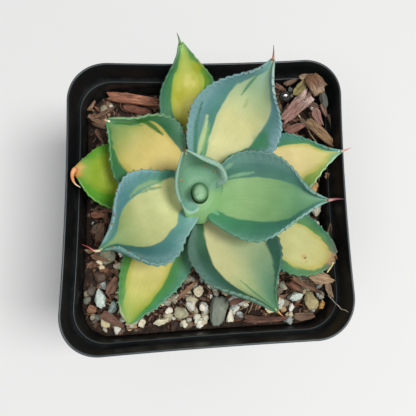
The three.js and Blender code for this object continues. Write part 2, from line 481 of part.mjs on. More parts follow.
function cupGeometry() {
  // wall thickness outward from the hollow side
  const thick = [0.9, 1.3, 1.4, 1.3, 1.1, 0.8, 0.5];
  const rings = CUP_RAILS.map((row, i) => {
    const p = row.map(V);
    const ring = p.map((q) => q.toArray());
    const prev = CUP_RAILS[Math.max(i - 1, 0)].map(V), next = CUP_RAILS[Math.min(i + 1, CUP_RAILS.length - 1)].map(V);
    for (let k = 4; k >= 0; k--) {
      const along = next[k].clone().sub(prev[k]);
      const across = p[Math.min(k + 1, 4)].clone().sub(p[Math.max(k - 1, 0)]);
      const out = new THREE.Vector3().crossVectors(along, across).normalize();
      if (out.dot(new THREE.Vector3(p[k].x - AX, p[k].y - AY, -2)) < 0) out.negate();
      const t = thick[i] * (k === 0 || k === 4 ? 0.55 : 1);
      ring.push(p[k].clone().addScaledVector(out, t).toArray());
    }
    return ring;
  });
  const base = rings[0].slice(0, 5).concat(rings[0].slice(5)).reduce((s, q) => s.add(V(q)), new THREE.Vector3()).divideScalar(10);
  return { rings, base };
}

for (const [name, spec] of Object.entries(LEAVES))
  add(name, leafGeometry(spec), material("#b9c07a", 0.55));

// the cup leaf: ends closed strip by strip because its section is a curved band
{
  const { rings } = cupGeometry();
  const p = [], idx = [];
  const n = 10;
  rings.forEach((r) => r.forEach((q) => p.push(...q)));
  for (let i = 0; i + 1 < rings.length; i++)
    for (let k = 0; k < n; k++) {
      const a = i * n + k, b = i * n + ((k + 1) % n), c = a + n, d = b + n;
      idx.push(a, b, d, a, d, c);
    }
  const strip = (o, flip) => {
    for (let k = 0; k < 4; k++) {
      const a = o + k, b = o + k + 1, c = o + 9 - k, d = o + 8 - k;
      if (flip) idx.push(a, c, b, b, c, d);
      else idx.push(a, b, c, b, d, c);
    }
  };
  strip(0, true);
  const end = p.length / 3;
  p.push(...CUP_TIP);
  const o = (rings.length - 1) * n;
  for (let k = 0; k < n; k++) idx.push(end, o + k, o + ((k + 1) % n));
  const g = new THREE.BufferGeometry();
  g.setAttribute("position", new THREE.Float32BufferAttribute(p, 3));
  g.setIndex(idx);
  g.computeVertexNormals();
  add("leaf_inner_cup", g, material("#7fae98", 0.6));
}

// the rolled bud of unopened leaves
{
  const rings = BUD.map(([x, y, z, a, b]) => {
    const ring = [];
    for (let k = 0; k < 14; k++) {
      const q = (k / 14) * Math.PI * 2;
      ring.push([x + a * Math.cos(q), y + b * Math.sin(q), z]);
    }
    return ring;
  });
  const [x, y, z] = BUD[BUD.length - 1];
  add("bud", loft(rings, [BUD[0][0], BUD[0][1], BUD[0][2]], [x, y, z + 0.3]), material("#93bd93", 0.6));
}

// ---------------------------------------------------------------- loose pieces
function seeded(seed) {
  let s = seed >>> 0;
  return () => ((s = (s * 1664525 + 1013904223) >>> 0) / 4294967296);
}
PIECES.forEach(([name, kind, x, y, length, width, turn, height, color, lift], i) => {
  const rnd = seeded(i * 7919 + 17);
  let g;
  if (kind === "stone") {
    g = new THREE.IcosahedronGeometry(1, 1);
  } else {
    g = new THREE.BoxGeometry(1.9, 1.9, 1.9, 4, 2, 1);
  }
  const pos = g.attributes.position;
  const seen = new Map();
  for (let k = 0; k < pos.count; k++) {
    const key = [pos.getX(k), pos.getY(k), pos.getZ(k)].map((q) => q.toFixed(3)).join();
    if (!seen.has(key)) seen.set(key, kind === "stone" ? 0.84 + 0.3 * rnd() : 0.82 + 0.3 * rnd());
    const f = seen.get(key);
    pos.setXYZ(k, pos.getX(k) * f, pos.getY(k) * f, pos.getZ(k) * (kind === "stone" ? f : 0.9 + 0.2 * (f - 0.82)));
  }
  g.scale(length / 2, width / 2, height / 2);
  g.computeBoundingBox();
  const bare = new THREE.BufferGeometry();
  bare.setAttribute("position", pos.clone());
  if (g.index) bare.setIndex(g.index.clone());
  const mesh = add(name, bare, material("#" + color, 0.85));
  bare.computeVertexNormals();
  mesh.rotation.z = (turn * Math.PI) / 180;
  let ground = -Infinity; // highest soil under the piece
  for (const [du, dv] of [[0, 0], [1, 0], [-1, 0], [0, 1], [0, -1], [1, 1], [-1, 1], [1, -1], [-1, -1]]) {
    const c = Math.cos(mesh.rotation.z), q = Math.sin(mesh.rotation.z);
    const lx = (du * length) / 2, ly = (dv * width) / 2;
    ground = Math.max(ground, SOIL_TOP + bump(x + lx * c - ly * q, y + lx * q + ly * c));
  }
  mesh.position.set(x, y, ground + lift + 0.15 + PIECE_CLEARANCE - g.boundingBox.min.z);
});

for (const [name, { radius, points, color }] of Object.entries(FIBRES)) {
  const curve = new THREE.CatmullRomCurve3(points.map(V));
  const steps = 8, sides = 6;
  const rings = [];
  for (let i = 0; i <= steps; i++) {
    const c = curve.getPointAt(i / steps), t = curve.getTangentAt(i / steps);
    const side = new THREE.Vector3().crossVectors(t, new THREE.Vector3(0, 0, 1)).normalize();
    const up = new THREE.Vector3().crossVectors(side, t).normalize();
    const r = radius * (1 - 0.45 * (i / steps));
    const ring = [];
    for (let k = 0; k < sides; k++) {
      const a = (-k / sides) * Math.PI * 2;
      ring.push(c.clone().addScaledVector(side, r * Math.cos(a)).addScaledVector(up, r * Math.sin(a)).toArray());
    }
    rings.push(ring);
  }
  add(name, loft(rings, curve.getPointAt(0).toArray(), curve.getPointAt(1).toArray()), material(color, 0.9));
}

export default root;
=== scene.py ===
"""Potted variegated agave in a square nursery pot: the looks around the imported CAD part.
Lengths in the tables are millimetres in the part's own frame; every mesh is made in metres."""
import math

import bpy
import numpy as np
from mathutils import Matrix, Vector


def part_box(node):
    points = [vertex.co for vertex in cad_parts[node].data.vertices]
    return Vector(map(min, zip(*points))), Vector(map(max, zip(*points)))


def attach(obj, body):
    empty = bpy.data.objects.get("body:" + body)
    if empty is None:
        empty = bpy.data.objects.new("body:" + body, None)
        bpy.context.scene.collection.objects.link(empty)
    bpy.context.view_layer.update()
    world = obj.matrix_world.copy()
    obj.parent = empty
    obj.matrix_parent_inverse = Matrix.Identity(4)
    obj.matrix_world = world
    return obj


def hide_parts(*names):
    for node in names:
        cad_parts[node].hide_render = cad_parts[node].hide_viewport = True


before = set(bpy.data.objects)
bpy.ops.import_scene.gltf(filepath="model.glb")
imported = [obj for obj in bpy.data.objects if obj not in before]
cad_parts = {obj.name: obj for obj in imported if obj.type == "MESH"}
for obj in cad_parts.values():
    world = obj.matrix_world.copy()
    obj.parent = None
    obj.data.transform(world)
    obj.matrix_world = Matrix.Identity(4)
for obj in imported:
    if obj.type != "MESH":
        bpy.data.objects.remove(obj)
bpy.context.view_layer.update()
MM = 0.001
AXIS = np.array([-3.61, -0.39])
rng = np.random.default_rng(20261)

# ------------------------------------------------------------------ tables
US = np.array([0, 0.08, 0.17, 0.27, 0.37, 0.47, 0.57, 0.67, 0.77, 0.86, 0.94, 1.0])
LEAVES = {
    "leaf_upper_right": {
        "M": [[-0.92, 4.45, 74.77], [0.77, 7.52, 75.7], [2.63, 10.88, 77.11], [4.69, 14.33, 79.25], [6.62, 17.61, 81.77], [8.21, 20.84, 84.53], [9.94, 23.79, 87.41], [11.75, 26.64, 90.12], [13.62, 29.35, 92.71], [15.31, 31.69, 95.0], [16.78, 33.72, 97.0], [17.72, 35.58, 98.05]],
        "L": [[-4.32, 5.06, 75.95], [-4.66, 9.16, 77.5], [-5.69, 13.38, 79.77], [-6.47, 17.94, 82.53], [-5.95, 22.37, 85.45], [-4.53, 26.39, 88.54], [-1.3, 29.39, 91.1], [2.89, 31.27, 93.07], [7.54, 31.93, 94.92], [11.75, 32.28, 96.4], [15.15, 33.63, 97.6], [17.44, 35.37, 98.23]],
        "R": [[1.43, 1.91, 75.11], [5.02, 3.97, 76.2], [8.96, 6.17, 77.86], [13.41, 7.8, 80.47], [17.11, 10.05, 83.58], [19.62, 13.31, 86.81], [20.77, 17.12, 90.09], [19.85, 21.05, 93.12], [18.05, 25.05, 95.28], [17.28, 28.96, 96.74], [17.26, 32.54, 97.82], [17.88, 35.33, 98.3]],
        "spine": [[17.56, 35.4, 98.7], [17.49, 36.72, 99.9], [17.36, 38.23, 101.0]],
        "th": [4.2, 3.4, 1.1],
    },
    "leaf_right": {
        "M": [[1.56, -0.7, 79.21], [3.97, 0.59, 79.93], [6.91, 0.76, 80.98], [10.26, 0.45, 82.16], [13.52, -0.09, 83.43], [16.72, -0.64, 84.77], [19.85, -1.3, 86.1], [22.93, -1.98, 87.38], [25.97, -2.64, 88.62], [28.67, -3.22, 89.75], [31.03, -3.72, 90.75], [32.86, -4.04, 91.28]],
        "L": [[0.61, 2.5, 80.4], [2.09, 5.7, 81.77], [3.87, 9.0, 83.75], [7.3, 11.27, 85.72], [11.52, 11.91, 87.27], [15.74, 10.8, 88.81], [19.66, 8.98, 90.04], [22.77, 5.83, 90.61], [25.21, 2.09, 91.05], [27.42, -1.21, 91.29], [30.29, -3.09, 91.41], [32.8, -3.96, 91.47]],
        "R": [[0.27, -3.87, 80.38], [-0.75, -6.74, 81.7], [2.08, -9.62, 83.62], [5.43, -12.2, 85.5], [9.09, -14.1, 86.99], [12.91, -14.73, 88.46], [16.72, -13.46, 89.69], [20.31, -11.28, 90.41], [23.79, -8.84, 90.99], [27.14, -6.82, 91.29], [30.22, -5.04, 91.41], [32.78, -4.25, 91.47]],
        "spine": [[32.77, -4.12, 91.7], [34.61, -3.93, 92.3], [36.86, -4.1, 92.9]],
        "th": [4.0, 3.2, 1.0],
    },
    "leaf_lower_right": {
        "M": [[-0.58, -5.11, 73.66], [0.57, -7.96, 74.22], [1.86, -11.11, 75.03], [3.39, -14.51, 75.96], [4.94, -17.81, 77.16], [6.85, -20.81, 78.52], [8.75, -23.71, 79.9], [10.71, -26.45, 81.34], [12.69, -29.05, 82.82], [14.5, -31.27, 84.19], [16.09, -33.17, 85.5], [17.33, -34.57, 86.2]],
        "L": [[1.52, -2.62, 74.36], [3.33, -6.01, 75.25], [6.58, -8.15, 76.54], [10.79, -9.62, 77.99], [15.01, -10.67, 79.59], [19.02, -12.08, 81.29], [20.16, -16.22, 82.94], [19.54, -20.69, 84.09], [18.12, -24.89, 84.93], [17.13, -28.64, 85.63], [17.06, -31.96, 86.14], [17.47, -34.38, 86.39]],
        "R": [[-3.73, -6.03, 74.35], [-5.3, -9.52, 75.19], [-6.73, -13.48, 76.42], [-6.73, -18.0, 77.8], [-4.75, -21.87, 79.3], [-1.93, -25.06, 80.86], [1.59, -27.18, 82.39], [5.51, -28.4, 83.54], [9.33, -29.84, 84.46], [12.51, -31.55, 85.28], [15.07, -33.43, 85.98], [17.18, -34.59, 86.34]],
        "spine": [[17.34, -34.7, 86.6], [17.97, -35.39, 86.9], [18.56, -36.01, 87.2]],
        "th": [4.0, 3.0, 1.0],
    },
    "leaf_lower_left": {
        "M": [[-8.12, -3.02, 79.15], [-10.4, -3.21, 79.67], [-12.7, -4.44, 80.42], [-15.19, -5.85, 81.28], [-17.6, -7.31, 82.39], [-19.96, -8.79, 83.65], [-22.21, -10.28, 84.91], [-24.41, -11.77, 86.04], [-26.58, -13.17, 87.08], [-28.53, -14.33, 88.03], [-30.23, -15.35, 88.87], [-31.5, -16.1, 89.31]],
        "L": [[-5.58, -5.26, 80.28], [-3.84, -6.39, 81.24], [-5.89, -9.87, 82.64], [-7.98, -13.27, 84.12], [-9.6, -17.12, 85.67], [-12.62, -19.77, 87.33], [-16.42, -20.53, 88.65], [-20.06, -19.22, 89.17], [-23.27, -17.09, 89.48], [-26.22, -15.34, 89.57], [-29.22, -15.53, 89.53], [-31.37, -16.28, 89.51]],
        "R": [[-8.77, 0.27, 80.32], [-9.28, 3.85, 81.43], [-10.42, 7.09, 83.05], [-15.05, 6.93, 84.68], [-19.52, 6.89, 86.19], [-23.74, 5.38, 87.79], [-26.01, 1.71, 89.06], [-27.0, -2.73, 89.57], [-27.65, -7.11, 89.87], [-28.66, -10.86, 89.85], [-30.21, -13.84, 89.65], [-31.58, -15.95, 89.54]],
        "spine": [[-31.54, -16.26, 89.6], [-32.71, -16.37, 90.0], [-34.39, -15.34, 90.5], [-36.07, -14.55, 90.9]],
        "th": [4.0, 3.2, 1.0],
    },
    "leaf_upper_left": {
        "M": [[-8.03, 3.02, 73.69], [-8.72, 5.58, 74.35], [-9.5, 8.39, 75.31], [-11.38, 10.84, 76.41], [-13.87, 12.76, 77.84], [-16.41, 14.47, 79.48], [-18.95, 16.07, 81.12], [-21.42, 17.59, 82.83], [-23.83, 19.06, 84.59], [-26.09, 20.1, 86.2], [-28.11, 20.88, 87.68], [-29.79, 21.18, 88.46]],
        "L": [[-9.22, -0.24, 74.35], [-12.05, 1.14, 75.22], [-15.24, 2.48, 76.48], [-19.13, 2.4, 77.91], [-22.88, 2.4, 79.68], [-26.33, 3.27, 81.64], [-28.11, 5.98, 83.57], [-28.68, 9.35, 85.15], [-28.85, 12.8, 86.51], [-28.97, 15.93, 87.6], [-29.32, 18.74, 88.32], [-29.85, 20.87, 88.66]],
        "R": [[-5.17, 4.94, 74.34], [-5.73, 8.29, 75.17], [-6.38, 11.97, 76.37], [-6.58, 16.06, 77.75], [-6.93, 19.92, 79.66], [-9.02, 22.91, 81.9], [-12.64, 24.11, 84.07], [-16.75, 23.74, 85.64], [-20.68, 22.42, 86.84], [-24.21, 21.72, 87.79], [-27.34, 21.48, 88.4], [-29.68, 21.28, 88.68]],
        "spine": [[-29.79, 21.02, 88.9], [-30.11, 21.1, 89.1], [-30.48, 21.17, 89.3]],
        "th": [4.0, 3.0, 1.0],
    },
    "leaf_top": {
        "M": [[-4.56, 8.53, 69.62], [-4.89, 12.02, 70.03], [-5.28, 15.91, 70.63], [-5.71, 20.22, 71.36], [-6.1, 24.34, 72.62], [-6.05, 28.32, 74.22], [-6.02, 32.13, 76.12], [-6.03, 35.59, 78.62], [-6.43, 38.88, 81.21], [-6.94, 41.74, 83.5], [-7.46, 44.21, 85.5], [-7.8, 46.26, 86.55]],
        "L": [[-8.12, 7.36, 69.99], [-8.84, 10.98, 70.65], [-9.66, 14.98, 71.61], [-10.57, 19.39, 72.73], [-12.35, 23.3, 74.28], [-13.86, 27.16, 76.12], [-14.35, 31.1, 78.21], [-13.63, 34.82, 80.54], [-11.75, 38.14, 82.73], [-9.65, 40.93, 84.56], [-8.32, 43.74, 85.98], [-8.2, 46.18, 86.69]],
        "R": [[-0.85, 8.13, 69.97], [-0.86, 11.98, 70.57], [-0.9, 16.26, 71.44], [-0.95, 20.99, 72.46], [0.15, 25.34, 74.01], [1.5, 29.49, 75.87], [2.6, 33.5, 78.0], [2.54, 37.39, 80.4], [-0.29, 40.33, 82.67], [-3.14, 42.68, 84.55], [-5.48, 44.95, 85.98], [-7.15, 46.85, 86.69]],
        "spine": [[-7.95, 46.44, 87.4], [-8.34, 47.46, 88.2], [-8.87, 48.59, 89.0]],
        "th": [3.4, 2.8, 0.9],
    },
    "leaf_right_outer": {
        "M": [[4.98, 2.22, 69.62], [7.73, 4.21, 70.03], [10.81, 6.44, 70.63], [14.23, 8.9, 71.34], [18.09, 10.24, 72.43], [21.89, 11.45, 73.77], [25.7, 12.34, 75.15], [29.39, 12.76, 77.04], [32.92, 12.91, 79.24], [36.07, 12.92, 81.09], [38.91, 12.83, 82.5], [41.14, 12.83, 83.2]],
        "L": [[3.74, 4.73, 69.88], [6.35, 7.53, 70.5], [9.25, 10.63, 71.4], [12.48, 14.06, 72.43], [16.1, 16.86, 73.77], [19.93, 19.13, 75.31], [24.02, 20.82, 76.86], [28.26, 19.57, 78.62], [32.07, 17.31, 80.5], [35.26, 14.89, 81.98], [38.32, 13.25, 82.9], [40.95, 12.96, 83.32]],
        "R": [[5.37, -0.58, 69.87], [8.78, 0.41, 70.45], [12.59, 1.48, 71.29], [16.88, 1.03, 72.26], [21.05, 0.16, 73.62], [25.15, 0.21, 75.22], [29.08, 0.74, 76.84], [32.26, 2.95, 78.62], [34.6, 6.01, 80.5], [36.78, 8.74, 81.98], [39.04, 11.07, 82.9], [41.08, 12.6, 83.32]],
        "spine": [[41.1, 12.68, 83.7], [42.21, 12.96, 84.2], [43.7, 13.43, 84.8]],
        "th": [3.4, 2.8, 0.9],
    },
    "leaf_right_lower": {
        "M": [[4.47, -4.35, 69.09], [7.43, -5.39, 69.4], [10.74, -6.57, 69.85], [14.36, -7.95, 70.38], [17.79, -9.62, 71.2], [21.15, -11.29, 72.2], [24.56, -12.7, 73.22], [27.86, -14.11, 74.48], [31.03, -15.6, 75.88], [33.83, -16.93, 77.12], [36.21, -18.25, 78.2], [38.05, -19.21, 78.76]],
        "L": [[5.29, -1.67, 69.33], [8.71, -1.57, 69.76], [12.53, -1.49, 70.39], [16.71, -1.91, 71.12], [20.78, -2.62, 72.19], [24.69, -3.61, 73.45], [28.46, -4.94, 74.71], [32.05, -6.53, 75.91], [34.53, -9.67, 77.07], [36.63, -12.52, 78.05], [37.86, -15.45, 78.78], [38.29, -17.81, 79.14]],
        "R": [[2.85, -6.66, 69.33], [5.94, -8.45, 69.76], [9.37, -10.47, 70.39], [12.87, -13.05, 71.12], [15.8, -16.23, 72.19], [18.67, -19.33, 73.45], [21.69, -22.15, 74.71], [25.17, -24.06, 75.91], [29.14, -24.56, 77.07], [32.71, -23.9, 78.05], [35.65, -22.45, 78.78], [37.64, -20.9, 79.14]],
        "spine": [[38.06, -19.71, 79.3], [38.27, -20.18, 79.4]],
        "th": [3.4, 2.8, 1.2],
    },
    "leaf_bottom": {
        "M": [[-7.7, -8.42, 69.09], [-10.01, -10.12, 69.4], [-12.47, -12.13, 69.85], [-14.62, -14.91, 70.36], [-16.74, -17.66, 70.97], [-18.26, -20.72, 71.63], [-19.68, -23.76, 72.3], [-20.96, -26.81, 72.94], [-22.17, -29.83, 73.56], [-23.27, -32.49, 74.12], [-24.19, -34.83, 74.62], [-24.78, -36.61, 74.89]],
        "L": [[-4.4, -9.37, 69.33], [-4.83, -12.46, 69.76], [-4.9, -15.94, 70.39], [-5.29, -19.72, 71.1], [-7.03, -22.93, 71.95], [-9.28, -25.87, 72.89], [-11.9, -28.36, 73.79], [-14.63, -30.63, 74.37], [-17.33, -32.86, 74.75], [-20.19, -34.13, 75.01], [-22.45, -35.7, 75.09], [-24.27, -36.68, 75.1]],
        "R": [[-10.41, -6.31, 69.33], [-13.46, -7.85, 69.76], [-16.86, -9.58, 70.39], [-20.65, -11.26, 71.1], [-24.42, -12.79, 71.95], [-26.31, -16.31, 72.89], [-27.11, -20.29, 73.79], [-27.63, -24.22, 74.37], [-27.72, -28.14, 74.75], [-27.59, -31.62, 75.01], [-26.56, -34.56, 75.09], [-25.14, -36.41, 75.1]],
        "spine": [[-24.77, -36.83, 75.1], [-24.89, -37.11, 75.1]],
        "th": [3.4, 2.8, 1.0],
    },
    "leaf_left_outer": {
        "M": [[-12.48, 1.15, 69.62], [-14.24, 2.99, 70.03], [-16.22, 5.03, 70.63], [-18.55, 6.98, 71.34], [-21.64, 7.29, 72.43], [-24.66, 7.54, 73.77], [-27.6, 7.83, 75.14], [-30.43, 8.06, 76.9], [-33.15, 8.15, 78.9], [-35.56, 8.22, 80.54], [-37.71, 8.19, 81.7], [-39.35, 8.12, 82.26]],
        "L": [[-12.42, -2.29, 69.87], [-15.08, -1.63, 70.45], [-18.03, -0.93, 71.29], [-21.35, -1.52, 72.26], [-24.59, -2.23, 73.62], [-27.72, -2.31, 75.22], [-30.75, -1.88, 76.82], [-33.43, -0.72, 78.48], [-35.68, 0.99, 80.16], [-37.18, 3.08, 81.46], [-38.34, 5.17, 82.22], [-39.14, 6.84, 82.56]],
        "R": [[-11.25, 4.34, 69.87], [-12.78, 7.21, 70.45], [-14.5, 10.38, 71.29], [-16.4, 13.86, 72.26], [-19.22, 16.18, 73.62], [-22.75, 17.55, 75.22], [-26.28, 18.38, 76.82], [-30.01, 17.38, 78.48], [-33.45, 15.66, 80.16], [-35.88, 13.01, 81.46], [-38.0, 10.77, 82.22], [-39.42, 8.98, 82.56]],
        "spine": [[-39.53, 8.26, 82.9], [-40.07, 7.04, 83.0], [-40.18, 5.64, 82.6], [-39.47, 4.13, 82.0], [-38.1, 3.18, 81.6]],
        "th": [3.4, 2.8, 1.0],
    },
}
BOUNDS = {
    "leaf_upper_right": [[-0.45, 0.175], [-0.45, 0.175], [-0.45, 0.175], [-0.462, 0.228], [-0.45, 0.475], [-0.468, 0.517], [-0.495, 0.608], [-0.581, 0.717], [-0.65, 0.768], [-0.419, 0.692], [-0.043, 0.525], [0.0, 0.525]],
    "leaf_right": [[-0.875, 0.7], [-0.652, 0.657], [-0.47, 0.673], [-0.4, 0.65], [-0.4, 0.604], [-0.4, 0.621], [-0.419, 0.663], [-0.464, 0.735], [-0.492, 0.722], [-0.475, 0.666], [-0.475, 0.601], [-0.475, 0.6]],
    "leaf_lower_right": [[-0.475, 0.5], [-0.638, 0.46], [-0.906, 0.429], [-0.966, 0.45], [-0.904, 0.471], [-0.795, 0.452], [-0.786, 0.478], [-0.821, 0.528], [-0.855, 0.572], [-0.858, 0.525], [-0.825, 0.525], [-0.825, 0.525]],
    "leaf_lower_left": [[-0.075, 0.925], [-0.301, 0.925], [-0.55, 0.879], [-0.55, 0.788], [-0.534, 0.675], [-0.5, 0.588], [-0.458, 0.595], [-0.371, 0.6], [-0.278, 0.389], [-0.09, 0.325], [-0.025, 0.325], [-0.025, 0.325]],
    "leaf_upper_left": [[-0.725, 0.65], [-0.725, 0.65], [-0.725, 0.65], [-0.711, 0.649], [-0.684, 0.55], [-0.692, 0.544], [-0.739, 0.67], [-0.823, 0.741], [-0.864, 0.509], [-0.858, 0.221], [-0.817, -0.131], [-0.8, -0.175]],
    "leaf_top": [[-0.275, 0.1], [-0.275, 0.1], [-0.275, 0.1], [-0.275, 0.1], [-0.108, 0.121], [-0.495, 0.26], [-0.558, 0.48], [-0.589, 0.69], [-0.617, 0.791], [-0.486, 0.769], [-0.3, 0.75], [-0.3, 0.75]],
    "leaf_right_outer": [[-0.7, 0.45], [-0.7, 0.45], [-0.7, 0.469], [-0.664, 0.568], [-0.593, 0.667], [-0.575, 0.675], [-0.529, 0.675], [-0.587, 0.699], [-0.666, 0.814], [-0.427, 0.847], [-0.222, 0.621], [-0.2, 0.475]],
    "leaf_right_lower": [[-0.775, 0.275], [-0.775, 0.275], [-0.775, 0.275], [-0.775, 0.291], [-0.8, 0.465], [-0.799, 0.632], [-0.694, 0.717], [-0.635, 0.787], [-0.6, 0.848], [-0.547, 0.857], [-0.353, 0.728], [-0.3, 0.725]],
    "leaf_bottom": [[-0.175, 0.9], [-0.202, 0.9], [-0.391, 0.869], [-0.489, 0.782], [-0.528, 0.717], [-0.582, 0.706], [-0.624, 0.729], [-0.605, 0.744], [-0.613, 0.725], [-0.614, 0.725], [-0.575, 0.725], [-0.575, 0.725]],
    "leaf_left_outer": [[-0.6, 0.675], [-0.6, 0.675], [-0.6, 0.675], [-0.608, 0.675], [-0.621, 0.692], [-0.585, 0.718], [-0.587, 0.725], [-0.669, 0.725], [-0.714, 0.751], [-0.741, 0.735], [-0.713, 0.676], [-0.7, 0.675]],
}
CUP = [[[-3.64, -1.64, 76.0], [-5.27, 0.91, 76.2], [-4.48, 3.68, 76.5], [-2.04, 5.08, 76.5], [0.12, 2.85, 76.3]], [[-3.97, -2.75, 78.0], [-5.71, 0.08, 78.0], [-5.09, 4.77, 78.0], [-1.82, 5.93, 80.0], [0.21, 1.41, 80.6]], [[-6.24, -4.37, 82.5], [-7.91, -0.29, 83.0], [-6.07, 5.88, 82.5], [-0.92, 6.64, 84.0], [2.57, 2.2, 84.5]], [[-8.88, -3.28, 87.0], [-9.33, 1.73, 87.5], [-6.84, 7.14, 87.0], [-0.76, 7.79, 87.6], [4.45, 3.39, 87.6]], [[-10.32, 0.49, 90.5], [-9.36, 4.61, 91.2], [-7.37, 8.11, 91.0], [-1.9, 8.33, 91.0], [2.78, 6.5, 90.5]], [[-9.91, 4.74, 94.0], [-8.86, 6.62, 94.3], [-7.71, 8.54, 94.5], [-5.09, 8.43, 94.3], [-1.76, 7.82, 94.0]], [[-8.44, 8.79, 97.0], [-8.21, 9.04, 97.0], [-8.04, 9.26, 97.0], [-7.67, 9.2, 97.0], [-7.3, 9.03, 97.0]]]
CUP_TIP = [-8.2, 9.45, 98.2]
BUD = [[-2.49, 1.85, 76.0, 2.3, 2.7], [-2.93, 0.89, 81.0, 2.45, 3.0], [-3.39, -0.05, 86.0, 2.3, 2.85], [-3.74, -0.79, 90.0, 1.9, 2.4], [-3.96, -1.22, 92.3, 1.2, 1.6], [-4.09, -1.44, 93.6, 0.25, 0.35]]
PIECES = [
    ["bark_strip_back", "bark", -23.02, 35.46, 16.7, 3.67, -9.6, 2.2, "8a5f4c", 0],
    ["bark_strip_second", "bark", -21.77, 31.77, 11.01, 2.34, -16.1, 1.6, "6a4438", 0],
    ["bark_curl_right", "bark", 35.5, 34.42, 7.9, 3.23, -64.5, 2.2, "6b4f3a", 3.9],
    ["leaf_chip", "bark", 34.57, 34.97, 7.64, 2.67, 46.8, 1.2, "7a7049", 2.2],
    ["bark_red_right", "bark", 29.99, 31.16, 8.14, 4.44, 39.1, 2.0, "7d5148", 0],
    ["bark_shard_right", "bark", 34.25, 21.73, 10.33, 3.1, -51.4, 1.8, "7a6348", 0],
    ["bark_lower_left", "bark", -36.83, -32.29, 2.77, 2.77, -22.0, 2.2, "80614a", 0],
    ["bark_bottom", "bark", 17.0, -37.61, 13.54, 1.93, 0.4, 2.2, "5d4238", 0],
    ["bark_bottom_right", "bark", 30.13, -37.24, 6.57, 2.63, 1.4, 2.0, "6a5546", 0],
    ["pebble_glossy", "stone", 28.87, 36.24, 4.37, 4.73, -84.2, 3.0, "2c2c2a", 0],
    ["stone_flat_right", "stone", 36.27, 34.44, 3.66, 8.05, 8.1, 1.6, "4b4c44", 0],
    ["stone_tan_right", "stone", 35.81, 4.7, 4.7, 4.03, -63.7, 3.0, "b58f62", 0],
    ["stone_round_left", "stone", -31.99, -16.0, 5.05, 5.36, -80.3, 3.6, "8b8d78", 0],
    ["stone_brown_left", "stone", -34.89, -7.64, 4.19, 5.15, -70.5, 3.0, "6f5a4c", 0],
    ["pebble_dark_left", "stone", -34.19, -22.62, 4.0, 3.69, -2.0, 3.0, "4a3a30", 0],
    ["pumice_white_left", "stone", -34.25, -29.07, 3.63, 6.35, 9.8, 3.4, "b9c6c0", 0],
    ["pumice_blue_left", "stone", -30.36, -32.27, 2.79, 4.65, -29.7, 2.6, "93a6a2", 0],
    ["pumice_cream_corner", "stone", -32.65, -36.17, 3.28, 4.17, 17.5, 3.2, "b4aa86", 0],
    ["pumice_cream_a", "stone", -21.33, -36.9, 2.45, 3.37, 2.4, 3.0, "c8c2ab", 0],
    ["pumice_cream_b", "stone", -15.56, -36.92, 5.22, 2.46, 11.2, 2.8, "c4bea4", 0],
    ["pebble_green_bottom", "stone", -9.09, -34.52, 4.7, 3.76, -12.2, 3.0, "9a967c", 0],
    ["stone_wedge", "stone", 2.82, -33.52, 5.7, 9.51, -10.2, 3.2, "6d7468", 0],
    ["pumice_white_bottom", "stone", 6.49, -35.94, 2.54, 4.45, -12.1, 3.0, "cfccba", 0],
    ["pumice_cream_c", "stone", 19.26, -34.62, 3.85, 2.57, -21.8, 2.4, "c9bb96", 0],
    ["pumice_blue_bottom", "stone", 27.48, -30.86, 4.62, 2.97, 9.3, 3.2, "aebab2", 0],
    ["stone_brown_bottom", "stone", 27.44, -27.2, 5.48, 3.22, -31.8, 3.0, "7d5644", 0],
    ["rock_cream_bottom", "stone", 32.64, -32.33, 4.65, 6.31, 16.7, 3.2, "948b66", 0],
    ["stone_orange_corner", "stone", 36.04, -33.73, 1.98, 2.98, -2.3, 3.0, "a98348", 0],
    ["pumice_white_right", "stone", 36.04, -2.82, 4.03, 4.03, -21.5, 3.0, "a9a493", 0],
    ["perlite_left", "stone", -27.86, -15.15, 1.88, 2.81, -1.8, 2.8, "cfd0c8", 0],
    ["pumice_cream_mid", "stone", -3.59, -27.94, 3.48, 3.8, -21.8, 3.4, "cdc6ad", 0],
]
FIBRES = {
    "twig": (0.42, [[31.45, 29.11, 72.6], [33.05, 26.29, 72.6], [34.77, 23.38, 72.4], [36.26, 21.06, 72.0], [37.62, 19.47, 71.4]], "b3a383"),
    "root_fibre": (0.2, [[37.9, -30.88, 69.4], [38.67, -32.44, 71.5], [39.13, -34.19, 74.6], [39.52, -35.01, 76.0], [39.99, -35.34, 77.6], [40.43, -35.91, 78.9]], "c4bcae"),
}


# ------------------------------------------------------------------ helpers
def lin(c):
    """sRGB 0-255 to linear."""
    c = np.asarray(c, float) / 255.0
    return np.where(c <= 0.04045, c / 12.92, ((c + 0.055) / 1.055) ** 2.4)


def hexlin(h):
    return lin([int(h[i : i + 2], 16) for i in (0, 2, 4)])


def smooth(a, b, x):
    t = np.clip((x - a) / (b - a), 0, 1)
    return t * t * (3 - 2 * t)


def _hash(ix, iy, iz, seed):
    h = (ix * 374761393 + iy * 668265263 + iz * 2147483647 + seed * 1274126177) & 0xFFFFFFFF
    h = ((h ^ (h >> 13)) * 1274126177) & 0xFFFFFFFF
    h = (h ^ (h >> 16)) & 0xFFFFFF
    return h / float(0xFFFFFF)


def vnoise(p, seed=0):
    """Value noise in 0..1 at points p (..., 3)."""
    p = np.asarray(p, float)
    i = np.floor(p).astype(np.int64)
    f = p - i
    f = f * f * (3 - 2 * f)
    out = 0
    for dx in (0, 1):
        for dy in (0, 1):
            for dz in (0, 1):
                w = (
                    (f[..., 0] if dx else 1 - f[..., 0])
                    * (f[..., 1] if dy else 1 - f[..., 1])
                    * (f[..., 2] if dz else 1 - f[..., 2])
                )
                out = out + w * _hash(i[..., 0] + dx, i[..., 1] + dy, i[..., 2] + dz, seed)
    return out


